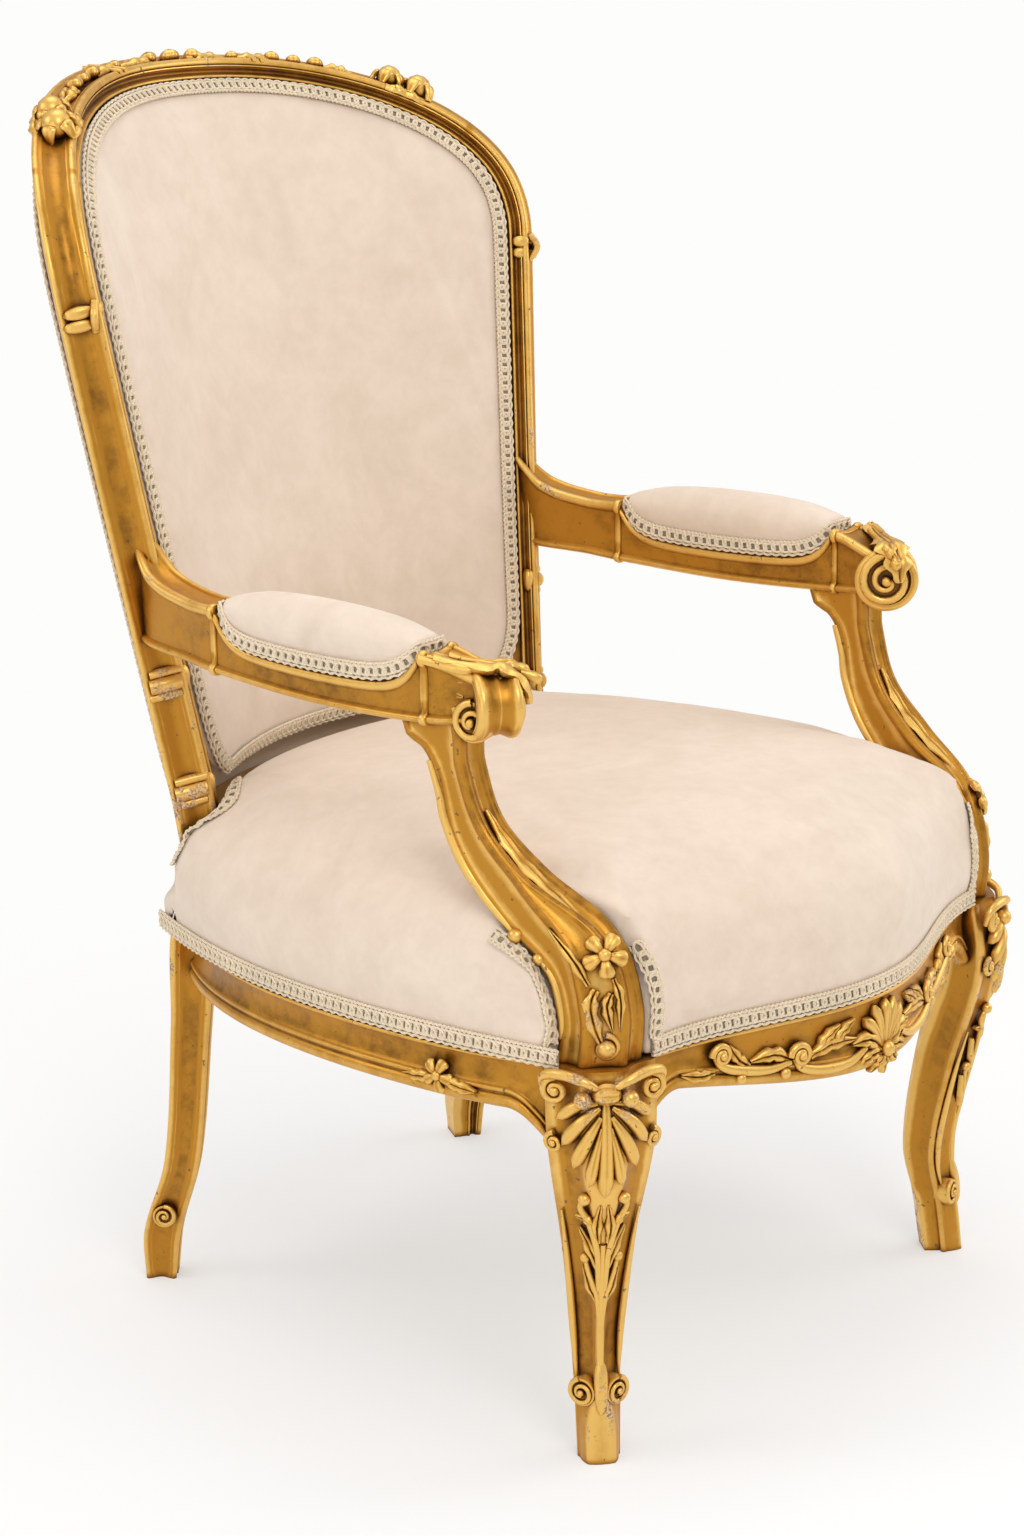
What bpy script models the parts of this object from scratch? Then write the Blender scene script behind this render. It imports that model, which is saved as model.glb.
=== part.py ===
"""Giltwood armchair with a hollowed, raked back, cabriole legs, scrolled arms and a sprung seat.

Metres, +Z up. The chair stands on Z = 0 and faces -Y; the sitter's left hand is at +X.
Every member is modelled on its own and meets its neighbours with a small fitting gap.
"""

import math

import bmesh
import bpy
from mathutils import Vector

# Fits
FIT = 0.0003
TENON_LENGTH = 0.014
TENON_THICK = 0.010

# Back: a raked surface, hollowed in plan, that carries the moulded frame
BACK_Y = 0.2154
BACK_Z = 0.465
BACK_RAKE = math.radians(13.64)
BACK_HOLLOW = 0.1286
CREST_TOP = 1.0456
SHOULDER_X = 0.2805
SHOULDER_Z = 0.8946
SHOULDER_POWER = 2.43
FLANK_SLOPE = 0.1326
FLANK_EASE = 0.010
CREST_JOINT = math.radians(62)
FRAME_WIDTH = 0.034
FRAME_DEPTH = 0.0345
FRAME_LIP = 0.0178
FRAME_CANT = 0.010
RABBET = 0.006
FRAME_COVE = 0.004
SIDE_COVE = 0.0045
LOWER_RAIL_Z = 0.4075
BACK_CORNER = 0.050

# Rear legs: (height, x, y, size) of the section's middle, foot first
REAR_FOOT = (0.213, 0.224)
REAR_FOOT_SIZE = 0.027
REAR_TOE_Z = 0.046
REAR_TOE_SIZE = 0.033
REAR_ANKLE = (0.221, 0.185)
REAR_ANKLE_Z = 0.125
REAR_ANKLE_SIZE = 0.031
REAR_KNEE = (0.2140, 0.176)
REAR_KNEE_Z = 0.250
REAR_KNEE_SIZE = 0.034
POST_SIZE = 0.040

# Front legs: the section moves on the diagonal as the leg swells and narrows.
# WIDE is half its breadth across the diagonal, DEEP half its thickness along it.
FRONT_FOOT = (0.2576, -0.295)
FOOT_WIDE = 0.0170
FOOT_DEEP = 0.0172
TOE_Z = 0.045
TOE_SET = -0.006
TOE_WIDE = 0.0182
TOE_DEEP = 0.0185
ANKLE_Z = 0.098
ANKLE_SET = -0.0150
ANKLE_WIDE = 0.0203
ANKLE_DEEP = 0.0212
CALF_Z = 0.180
CALF_SET = -0.003
CALF_WIDE = 0.0285
CALF_DEEP = 0.0250
KNEE_Z = 0.275
KNEE_SET = 0.0175
KNEE_WIDE = 0.0420
KNEE_DEEP = 0.0250
HEAD_SET = 0.0100
HEAD_WIDE = 0.0430
HEAD_DEEP = 0.0265
VOLUTE_Z = 0.060
VOLUTE_RADIUS = 0.0125
VOLUTE_PROUD = 0.005

# Seat frame
RAIL_TOP = 0.335
RAIL_BOTTOM = 0.300
RAIL_THICK = 0.027
RAIL_EDGE = 0.0085
RAIL_STEP = 0.0035
FRONT_FACE = 0.3330
FRONT_BOW = 0.058
FRONT_SPREAD = 0.240
APRON_DROP = 0.027
SIDE_X = 0.312
SIDE_FULL_Y = -0.150
SIDE_REACH = 0.628
SIDE_POWER = 2.26
SIDE_FRONT_REACH = 0.800
REAR_FACE = 0.238
REAR_SAG = 0.050
REAR_SPREAD = 0.2132
BLOCK_HEIGHT = 0.028
BLOCK_REACH = 0.062

# Arms and their supports
ARM_BOTTOM = 0.584
ARM_TALL = 0.059
ARM_TOP = ARM_BOTTOM + ARM_TALL
ARM_WIDTH = 0.044
ARM_X = 0.284
ARM_SWEEP = 0.0150
ARM_TURN = math.radians(34)
PAD_REAR_Y = 0.062
PAD_FRONT_Y = -0.160
PAD_SINK = 0.032
PAD_PROUD = 0.019
PAD_SEAT_Z = ARM_TOP - PAD_SINK
PAD_TOP = ARM_TOP + PAD_PROUD
PAD_FALL = 0.007
PAD_DIP = 0.006
PAD_RISE = 0.022
PAD_STATIONS = (-1.0, -0.96, -0.86, -0.62, -0.22, 0.22, 0.62, 0.86, 0.96, 1.0)
SCROLL_X = 0.277
SCROLL_Y = -0.210
SCROLL_RISE = 0.020
SCROLL_Z = ARM_BOTTOM + SCROLL_RISE
SCROLL_RADIUS = 0.0270
SCROLL_WIDTH = 0.040
SUPPORT_TOP_X = 0.2815
SUPPORT_TOP_Y = -0.181
SUPPORT_TOP_WIDTH = 0.031
SUPPORT_TOP_DEPTH = 0.031
SUPPORT_BEND_Z = 0.457
SUPPORT_BEND_WIDTH = 0.038
SUPPORT_BEND_DEPTH = 0.042
SUPPORT_FOOT_WIDTH = 0.048
SUPPORT_FOOT_DEPTH = 0.048

# Upholstery
COVER = 0.0020
GIMP_WIDTH = 0.0150
GIMP_THICK = 0.0028
SEAT_EDGE_RISE = 0.095
SEAT_CROWN_RISE = 0.051
SEAT_EDGE_Z = RAIL_TOP + SEAT_EDGE_RISE
SEAT_CROWN_Z = SEAT_EDGE_Z + SEAT_CROWN_RISE
SEAT_REAR_CLEAR = 0.0045
SEAT_UNDER = 0.012
SEAT_BULGE = 0.0037
SEAT_CLEAR = 0.0015
BACK_CROWN = 0.020
BACK_PLAY = 0.0009
CANVAS = 0.0020
PAD_BULGE = 0.003
WELL_X = 0.180
WELL_Y = 0.180
WELL_MIDDLE_Y = -0.090
WELL_RISE = 0.073
WELL_TOP_Z = RAIL_TOP + WELL_RISE

# Webbing and springs
STRAP_WIDTH = 0.050
STRAP_THICK = 0.0020
STRAP_WAVE = 0.0020
STRAP_PITCH_X = 0.100
STRAP_PITCH_Y = 0.110
SPRING_RADIUS = 0.035
SPRING_WAIST = 0.024
SPRING_WIRE = 0.0018
SPRING_TURNS = 3

GILT = ("gilded_wood", (0.74, 0.50, 0.16), 0.38, 0.75)
BEECH = ("raw_beech", (0.62, 0.46, 0.29), 0.70, 0.0)
VELVET = ("cream_velvet", (0.84, 0.74, 0.64), 0.90, 0.0)
BRAID = ("gimp_braid", (0.72, 0.66, 0.53), 0.85, 0.0)
HAIR = ("stuffing", (0.55, 0.46, 0.34), 0.95, 0.0)
LINEN = ("linen_canvas", (0.66, 0.57, 0.42), 0.90, 0.0)
JUTE = ("jute_webbing", (0.58, 0.45, 0.26), 0.90, 0.0)
STEEL = ("spring_steel", (0.45, 0.36, 0.28), 0.40, 1.0)


def clear_scene():
    for item in list(bpy.data.objects):
        bpy.data.objects.remove(item, do_unlink=True)


def material(spec):
    name, colour, roughness, metallic = spec
    found = bpy.data.materials.get(name)
    if found:
        return found
    made = bpy.data.materials.new(name)
    made.use_nodes = True
    shader = made.node_tree.nodes["Principled BSDF"]
    shader.inputs["Base Color"].default_value = (*colour, 1.0)
    shader.inputs["Roughness"].default_value = roughness
    shader.inputs["Metallic"].default_value = metallic
    made.diffuse_color = (*colour, 1.0)
    return made


def place(name, bm, spec, cutter=False):
    """Turn a bmesh into a named object, as a piece or as a hidden cutter."""
    bmesh.ops.recalc_face_normals(bm, faces=bm.faces)
    mesh = bpy.data.meshes.new(name)
    bm.to_mesh(mesh)
    bm.free()
    mesh.materials.append(material(spec))
    mesh.shade_smooth()
    mesh.set_sharp_from_angle(angle=math.radians(35))
    made = bpy.data.objects.new(name, mesh)
    bpy.context.scene.collection.objects.link(made)
    if cutter:
        made.hide_render = True
        made.display_type = "WIRE"
    return made


def combine(target, tool, operation):
    step = target.modifiers.new(tool.name, "BOOLEAN")
    step.operation = operation
    step.solver = "EXACT"
    step.object = tool


def cut(target, *tools):
    for tool in tools:
        combine(target, tool, "DIFFERENCE")


def loft(rings, closed=False):
    """Skin a row of rings; a ring of one point makes a pole."""
    bm = bmesh.new()
    loops = [[bm.verts.new(point) for point in ring] for ring in rings]
    pairs = list(zip(loops, loops[1:]))
    if closed:
        pairs.append((loops[-1], loops[0]))
    else:
        for end in (loops[0], loops[-1]):
            if len(end) > 2:
                bm.faces.new(end)
    for low, high in pairs:
        count = max(len(low), len(high))
        for i in range(count):
            j = (i + 1) % count
            if len(low) == 1:
                bm.faces.new((low[0], high[j], high[i]))
            elif len(high) == 1:
                bm.faces.new((low[i], low[j], high[0]))
            else:
                bm.faces.new((low[i], low[j], high[j], high[i]))
    return bm


def grow(section, amount):
    """Offset a closed polygon outward along its mitred corners."""
    if amount == 0.0:
        return list(section)
    area = sum(a[0] * b[1] - b[0] * a[1] for a, b in zip(section, section[1:] + section[:1]))
    turn = 1.0 if area > 0 else -1.0
    result = []
    for i, (x, y) in enumerate(section):
        ax, ay = section[i - 1]
        bx, by = section[(i + 1) % len(section)]
        before = Vector((y - ay, ax - x)).normalized() * turn
        after = Vector((by - y, x - bx)).normalized() * turn
        corner = before + after
        reach = amount * 2.0 / max(corner.length_squared, 0.8)
        result.append((x + corner.x * reach, y + corner.y * reach))
    return result


def smooth(rows, steps):
    """Monotone-friendly cubic through rows of equal length, first column as the parameter."""
    result = []
    last = len(rows) - 1
    for i in range(last):
        before, start, end, after = rows[max(i - 1, 0)], rows[i], rows[i + 1], rows[min(i + 2, last)]
        span = end[0] - start[0]
        for k in range(steps):
            t = k / steps
            row = [start[0] + span * t]
            for c in range(1, len(start)):
                slope_a = (end[c] - before[c]) / (end[0] - before[0])
                slope_b = (after[c] - start[c]) / (after[0] - start[0])
                low, high = start[c], end[c]
                row.append((2 * t ** 3 - 3 * t * t + 1) * low + (t ** 3 - 2 * t * t + t) * span * slope_a
                           + (3 * t * t - 2 * t ** 3) * high + (t ** 3 - t * t) * span * slope_b)
            result.append(row)
    result.append(list(rows[last]))
    return result


def blend(a, b, t):
    return [(p[0] + (q[0] - p[0]) * t, p[1] + (q[1] - p[1]) * t) for p, q in zip(a, b)]


def mirror(rings, side):
    return [[Vector((p[0] * side, p[1], p[2])) for p in ring] for ring in rings]


def box(centre, along, up, length, width, height):
    """A box whose length lies on one axis, for tenons and their mortises."""
    along = Vector(along).normalized()
    across = Vector(up).cross(along).normalized()
    upward = along.cross(across)
    corners = ((-1, -1), (1, -1), (1, 1), (-1, 1))
    rings = []
    for end in (-0.5, 0.5):
        rings.append([Vector(centre) + along * length * end + across * width * a / 2 + upward * height * b / 2
                      for a, b in corners])
    return loft(rings)


def tenon(name, owner, host, centre, along, up, height, reach=TENON_LENGTH, width=TENON_THICK):
    """A tongue on one member and the mortise that it goes into."""
    tongue = place("tenon_" + name, box(centre, along, up, 2 * reach, width, height), BEECH, cutter=True)
    grown = 2 * FIT
    slot = place("mortise_" + name, box(centre, along, up, 2 * reach + grown, width + grown, height + grown),
                 BEECH, cutter=True)
    combine(owner, tongue, "UNION")
    cut(host, slot)


# Back frame

HOLLOW_RATE = BACK_HOLLOW / SHOULDER_X ** 2
CREST_RISE = CREST_TOP - SHOULDER_Z


def back_point(x, z):
    return Vector((x, BACK_Y + (z - BACK_Z) * math.tan(BACK_RAKE) - HOLLOW_RATE * x * x, z))


def back_normal(x):
    return Vector((2 * HOLLOW_RATE * x, 1.0, -math.tan(BACK_RAKE))).normalized()


def flank_x(z):
    drop = SHOULDER_Z - z
    return SHOULDER_X - FLANK_SLOPE * drop * drop / (drop + FLANK_EASE)


def arch(angle):
    power = 2 / SHOULDER_POWER
    x = math.copysign(SHOULDER_X * abs(math.sin(angle)) ** power, angle)
    return x, SHOULDER_Z + CREST_RISE * max(math.cos(angle), 0.0) ** power


def station(x, z, ahead_x, ahead_z):
    """Place on the outer front edge: point, outward axis and rearward axis."""
    spot = back_point(x, z)
    rear = back_normal(x)
    run = back_point(x + ahead_x, z + ahead_z) - back_point(x - ahead_x, z - ahead_z)
    return spot, run.cross(rear).normalized(), rear


def arch_station(angle):
    small = 0.002
    ax, az = arch(angle - small)
    bx, bz = arch(angle + small)
    x, z = arch(angle)
    return station(x, z, (bx - ax) / 2, (bz - az) / 2)


def flank_station(z):
    small = 0.002
    return station(flank_x(z), z, (flank_x(z - small) - flank_x(z + small)) / 2, -small)


def frame_section(cant=FRAME_CANT):
    """Moulded section: u runs outward from the outer edge, v runs to the rear, where the side leans out."""
    lip = -FRAME_LIP
    back = FRAME_DEPTH
    lean = cant / back
    return [(-FRAME_WIDTH, RABBET), (lip, RABBET), (lip, 0.0012), (lip + 0.004, 0.0),
            (lip / 2, FRAME_COVE), (-0.005, 0.0), (-0.0012, 0.0012), (0.0, 0.006),
            (lean * 0.011 - SIDE_COVE, 0.011), (lean * (back - 0.011) - SIDE_COVE, back - 0.011),
            (lean * (back - 0.006), back - 0.006), (cant - 0.002, back), (-FRAME_WIDTH, back)]


def leg_section(width, depth):
    """Plain leg with thin raised edges, point for point like the frame section."""
    u, v = width / 2, depth / 2
    edge = 0.0015
    return [(-u, -v), (-u * 0.7, -v), (-u * 0.5, -v + edge), (-u * 0.2, -v + edge), (u * 0.2, -v + edge),
            (u * 0.6, -v + edge), (u * 0.8, -v), (u, -v * 0.8), (u - edge, -v * 0.55), (u - edge, v * 0.55),
            (u, v * 0.8), (u * 0.8, v), (-u, v)]


def centred(section):
    return [(u + FRAME_WIDTH / 2, v - FRAME_DEPTH / 2) for u, v in section]


FLANK_STEPS = [SHOULDER_Z - (SHOULDER_Z - LOWER_RAIL_Z) * i / 9 for i in range(10)]
ARCH_STEPS = [CREST_JOINT + (math.pi / 2 - CREST_JOINT) * i / 4 for i in range(5)]


def on_frame(spot, out, rear, section):
    return [spot + out * u + rear * v for u, v in section]


def upright_rings(extra=0.0):
    """Foot to shoulder, on the +X side."""
    turn = math.atan(2 * HOLLOW_RATE * flank_x(LOWER_RAIL_Z))
    leg_out = Vector((math.cos(turn), -math.sin(turn), 0.0))
    leg_rear = Vector((math.sin(turn), math.cos(turn), 0.0))
    spot, out, rear = flank_station(LOWER_RAIL_Z)
    top = spot - out * FRAME_WIDTH / 2 + rear * FRAME_DEPTH / 2
    rows = [(0.0, *REAR_FOOT, REAR_FOOT_SIZE),
            (REAR_TOE_Z, REAR_FOOT[0], REAR_FOOT[1] - 0.004, REAR_TOE_SIZE),
            (REAR_ANKLE_Z, *REAR_ANKLE, REAR_ANKLE_SIZE),
            (REAR_KNEE_Z, *REAR_KNEE, REAR_KNEE_SIZE),
            (RAIL_TOP, (REAR_KNEE[0] + top.x) / 2, (REAR_KNEE[1] + top.y) / 2 + 0.006, POST_SIZE),
            (top.z, top.x, top.y, FRAME_DEPTH)]
    rings = []
    for z, x, y, size in smooth(rows, 3)[:-1]:
        share = min(max((z - RAIL_TOP) / (top.z - RAIL_TOP), 0.0), 1.0)
        ease = share * share * (3 - 2 * share)
        plain = leg_section(min(size, FRAME_WIDTH), size)
        section = grow(blend(plain, centred(frame_section()), ease), extra)
        u_axis = leg_out.lerp(out, ease).normalized()
        v_axis = leg_rear.lerp(rear, ease).normalized()
        rings.append([Vector((x, y, z)) + u_axis * u + v_axis * v for u, v in section])
    section = grow(frame_section(), extra)
    for z in reversed(FLANK_STEPS[1:]):
        rings.append(on_frame(*flank_station(z), section))
    for angle in reversed(ARCH_STEPS):
        rings.append(on_frame(*arch_station(angle), section))
    if extra:
        rings[0] = [p - Vector((0, 0, extra)) for p in rings[0]]
    else:
        spot, out, rear = arch_station(CREST_JOINT)
        along = rear.cross(out).normalized()
        rings[-1] = [p + along * FIT / 2 for p in rings[-1]]
    return rings


def build_back_frame():
    uprights, cutters = {}, {}
    for side, word in ((-1, "left"), (1, "right")):
        uprights[side] = place("rear_upright_" + word, loft(mirror(upright_rings(), side)), GILT)
        cutters[side] = place("cut_upright_" + word, loft(mirror(upright_rings(FIT), side)), GILT, cutter=True)
    steps = 20
    section = frame_section()
    angles = [-CREST_JOINT + 2 * CREST_JOINT * i / steps for i in range(steps + 1)]
    rings = [on_frame(*arch_station(angle), section) for angle in angles]
    for ring, angle, sign in ((rings[0], angles[0], 1), (rings[-1], angles[-1], -1)):
        spot, out, rear = arch_station(angle)
        along = rear.cross(out).normalized() * sign * -FIT / 2
        ring[:] = [p - along for p in ring]
    crest = place("crest_rail", loft(rings), GILT)
    for side, word in ((-1, "left"), (1, "right")):
        spot, out, rear = arch_station(side * CREST_JOINT)
        middle = spot - out * FRAME_WIDTH / 2 + rear * FRAME_DEPTH / 2
        tenon("crest_" + word, crest, uprights[side], middle, rear.cross(out), rear, FRAME_DEPTH * 0.5)
    reach = flank_x(LOWER_RAIL_Z) - FRAME_WIDTH / 2
    count = 12
    section = frame_section(0.0)
    rings = []
    for i in range(count + 1):
        x = -reach + 2 * reach * i / count
        spot, out, rear = station(x, LOWER_RAIL_Z, -0.002, 0.0)
        rings.append(on_frame(spot, out, rear, section))
    rail = place("lower_back_rail", loft(rings), GILT)
    cut(rail, cutters[-1], cutters[1])
    for side, word in ((-1, "left"), (1, "right")):
        x = side * (reach - FRAME_WIDTH * 0.30)
        spot, out, rear = station(x, LOWER_RAIL_Z, -0.002, 0.0)
        middle = spot - out * FRAME_WIDTH * 0.5 + rear * FRAME_DEPTH * 0.55
        tenon("lower_back_" + word, rail, uprights[side], middle, out.cross(rear), out,
              FRAME_WIDTH * 0.5, reach=TENON_LENGTH * 0.8)
    return uprights, cutters


# Legs

def leg_centre(set_out):
    shift = set_out / math.sqrt(2)
    return FRONT_FOOT[0] + shift, FRONT_FOOT[1] - shift


def leg_plan(wide, deep):
    """Square leg seen on its diagonal: flats on the outer and inner arris, sunk side faces."""
    flat = max(wide - deep, 0.16 * wide)
    sunk = 0.04 * wide
    quarter = [(deep, flat), (deep * 0.55 - sunk, flat + (wide - flat) * 0.45 - sunk), (0.12 * deep, wide * 0.985)]
    points = [(-s, t) for s, t in reversed(quarter)]
    points = [(s, -t) for s, t in reversed(quarter)] + quarter + points
    points += [(-s, -t) for s, t in quarter]
    root = math.sqrt(2)
    return [((s + t) / root, (t - s) / root) for s, t in points]


def front_leg_rings(extra=0.0):
    rows = [(0.0, 0.0, FOOT_WIDE, FOOT_DEEP), (TOE_Z, TOE_SET, TOE_WIDE, TOE_DEEP),
            (ANKLE_Z, ANKLE_SET, ANKLE_WIDE, ANKLE_DEEP), (CALF_Z, CALF_SET, CALF_WIDE, CALF_DEEP),
            (KNEE_Z, KNEE_SET, KNEE_WIDE, KNEE_DEEP), (RAIL_TOP, HEAD_SET, HEAD_WIDE, HEAD_DEEP)]
    rings = []
    for z, shift, wide, deep in smooth(rows, 3):
        x, y = leg_centre(shift)
        rings.append([Vector((x + u, y + v, z)) for u, v in grow(leg_plan(wide, deep), extra)])
    if extra:
        rings[0] = [p - Vector((0, 0, extra)) for p in rings[0]]
        rings[-1] = [p + Vector((0, 0, 5 * extra)) for p in rings[-1]]
    return rings


def disc(centre, axis, profile, sides):
    """Turn a profile of (radius, distance along the axis) pairs, closed at both ends."""
    axis = Vector(axis).normalized()
    first = axis.orthogonal().normalized()
    second = axis.cross(first)
    rings = []
    for radius, along in profile:
        if radius == 0.0:
            rings.append([Vector(centre) + axis * along])
            continue
        rings.append([Vector(centre) + axis * along
                      + (first * math.cos(math.tau * i / sides) + second * math.sin(math.tau * i / sides)) * radius
                      for i in range(sides)])
    return loft(rings)


def build_front_legs():
    legs, cutters = {}, {}
    for side, word in ((-1, "left"), (1, "right")):
        leg = place("front_leg_" + word, loft(mirror(front_leg_rings(), side)), GILT)
        cutters[side] = place("cut_front_leg_" + word, loft(mirror(front_leg_rings(FIT), side)), GILT, cutter=True)
        x, y = leg_centre(TOE_SET)
        half = TOE_WIDE / math.sqrt(2)
        profile = [(0.0, -half), (VOLUTE_RADIUS, -half), (VOLUTE_RADIUS, VOLUTE_PROUD - 0.002),
                   (VOLUTE_RADIUS - 0.002, VOLUTE_PROUD), (VOLUTE_RADIUS * 0.62, VOLUTE_PROUD),
                   (VOLUTE_RADIUS * 0.5, VOLUTE_PROUD - 0.002), (0.0, VOLUTE_PROUD)]
        for face, (dx, dy) in (("side", (1, 0)), ("front", (0, -1))):
            centre = (side * (x + dx * half), y + dy * half, VOLUTE_Z)
            roll = place("volute_" + face + "_" + word, disc(centre, (side * dx, dy, 0), profile, 14), GILT,
                         cutter=True)
            combine(leg, roll, "UNION")
        legs[side] = leg
    return legs, cutters


# Seat rails: plan curves of the outer faces

def bow(x):
    reach = min(abs(x) / FRONT_SPREAD, 1.0)
    return 0.5 * (1 + math.cos(math.pi * reach))


def front_line(x):
    return -(FRONT_FACE + FRONT_BOW * bow(x))


def side_line(y):
    behind = max(y - SIDE_FULL_Y, 0.0) / SIDE_REACH
    ahead = max(SIDE_FULL_Y - y, 0.0) / SIDE_FRONT_REACH
    return SIDE_X * (1 - behind ** SIDE_POWER - ahead * ahead)


def rear_line(x):
    return REAR_FACE - REAR_SAG * (x / REAR_SPREAD) ** 2


def rail_section(edge_z):
    """Outer face with a roll at its lower edge; o runs outward from the plan curve."""
    return [(-RAIL_THICK, RAIL_BOTTOM), (-RAIL_THICK, RAIL_TOP), (-RAIL_STEP, RAIL_TOP),
            (-RAIL_STEP, edge_z + 0.020), (0.0005, edge_z + 0.014), (0.0010, edge_z + 0.005),
            (-0.0020, edge_z), (-0.0110, edge_z), (-0.0120, RAIL_BOTTOM)]


def sweep_rail(points, edges, extra=0.0):
    """Carry the rail section along plan points, upright and square to the curve."""
    rings = []
    last = len(points) - 1
    for i, (x, y) in enumerate(points):
        ax, ay = points[max(i - 1, 0)]
        bx, by = points[min(i + 1, last)]
        outward = Vector((by - ay, ax - bx, 0.0)).normalized()
        section = grow(rail_section(edges[i]), extra)
        rings.append([Vector((x, y, z)) + outward * o for o, z in section])
    return loft(rings)


def span(start, end, steps):
    return [start + (end - start) * i / steps for i in range(steps + 1)]


def post_centre():
    """Middle of an upright where the seat rails meet it."""
    rings = upright_rings()
    level = min(rings, key=lambda ring: abs(ring[0].z - (RAIL_TOP + RAIL_BOTTOM) / 2))
    return sum((p.x for p in level)) / len(level), sum((p.y for p in level)) / len(level)


def rail_plans():
    """Plan curves of the four rails, each ending inside the leg or upright that holds it."""
    leg_x, leg_y = leg_centre(HEAD_SET)
    post_x, post_y = post_centre()
    half = RAIL_THICK / 2
    edge = RAIL_BOTTOM - RAIL_EDGE
    xs = span(-leg_x, leg_x, 18)
    set_back = leg_y - half - front_line(leg_x)
    front = [(x, front_line(x) + set_back * (abs(x) / leg_x) ** 8) for x in xs]
    drops = [RAIL_BOTTOM + 0.004 - (APRON_DROP + 0.004) * bow(x) ** 0.6 for x in xs]
    plans = {"front_seat_rail": (front, drops)}
    right = []
    for y in span(leg_y, post_y, 14):
        share = (y - leg_y) / (post_y - leg_y)
        at_leg = side_line(leg_y) - leg_x - half
        at_post = side_line(post_y) - post_x - half
        right.append((side_line(y) - at_leg * (1 - share) ** 10 - at_post * share ** 8, y))
    left = [(-x, y) for x, y in reversed(right)]
    plans["side_seat_rail_right"] = (right, [edge] * len(right))
    plans["side_seat_rail_left"] = (left, [edge] * len(left))
    meet = rear_line(post_x) - post_y - half
    rear = [(x, rear_line(x) - meet * (abs(x) / post_x) ** 8) for x in span(post_x, -post_x, 14)]
    plans["rear_seat_rail"] = (rear, [edge] * len(rear))
    return plans


def build_seat_frame(legs, leg_cutters, uprights, upright_cutters):
    leg_x, leg_y = leg_centre(HEAD_SET)
    post_x, post_y = post_centre()
    rails, cutters = {}, {}
    for name, (plan, edges) in rail_plans().items():
        rails[name] = place(name, sweep_rail(plan, edges), GILT)
        cutters[name] = place("cut_" + name, sweep_rail(plan, edges, FIT), GILT, cutter=True)
    height = (RAIL_TOP - RAIL_BOTTOM) * 0.5
    middle = (RAIL_TOP + RAIL_BOTTOM) / 2
    front, rear = rails["front_seat_rail"], rails["rear_seat_rail"]
    cut(front, leg_cutters[-1], leg_cutters[1])
    cut(rear, upright_cutters[-1], upright_cutters[1], cutters["side_seat_rail_left"],
        cutters["side_seat_rail_right"])
    face = HEAD_WIDE / math.sqrt(2)
    for side, word in ((-1, "left"), (1, "right")):
        rail = rails["side_seat_rail_" + word]
        cut(rail, leg_cutters[side], upright_cutters[side], cutters["front_seat_rail"])
        tenon("front_" + word, front, legs[side], (side * (leg_x - face), leg_y, middle + 0.003),
              (side, 0, 0), (0, 0, 1), height)
        tenon("side_" + word, rail, legs[side], (side * leg_x, leg_y + face, middle - 0.001),
              (0, 1, 0), (0, 0, 1), height)
    return rails, cutters


# Corner blocks

def build_corner_blocks(rail_cutters, leg_cutters, upright_cutters):
    leg_x, leg_y = leg_centre(HEAD_SET)
    post_x, post_y = post_centre()
    top = RAIL_TOP - FIT
    low = top - BLOCK_HEIGHT
    for side, word in ((-1, "left"), (1, "right")):
        sides = rail_cutters["side_seat_rail_" + word]
        for label, corner, reach, limbs in (
                ("front", (leg_x, leg_y), HEAD_WIDE / math.sqrt(2) + BLOCK_REACH, ((-1.0, 0.0), (0.0, 1.0))),
                ("rear", (post_x, post_y), FRAME_WIDTH / 2 + BLOCK_REACH, ((-0.91, 0.40), (0.38, -0.93)))):
            lean = Vector((limbs[0][0] + limbs[1][0], limbs[0][1] + limbs[1][1])).normalized() * RAIL_THICK * 0.8
            plan = [(corner[0] + lean.x, corner[1] + lean.y)]
            plan += [(corner[0] + dx * reach, corner[1] + dy * reach) for dx, dy in limbs]
            rings = [[Vector((side * x, y, z)) for x, y in plan] for z in (low, top)]
            block = place("corner_block_" + label + "_" + word, loft(rings), BEECH)
            other = rail_cutters["front_seat_rail" if label == "front" else "rear_seat_rail"]
            cut(block, leg_cutters[side] if label == "front" else upright_cutters[side], sides, other)


# Arms and arm supports

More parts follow.
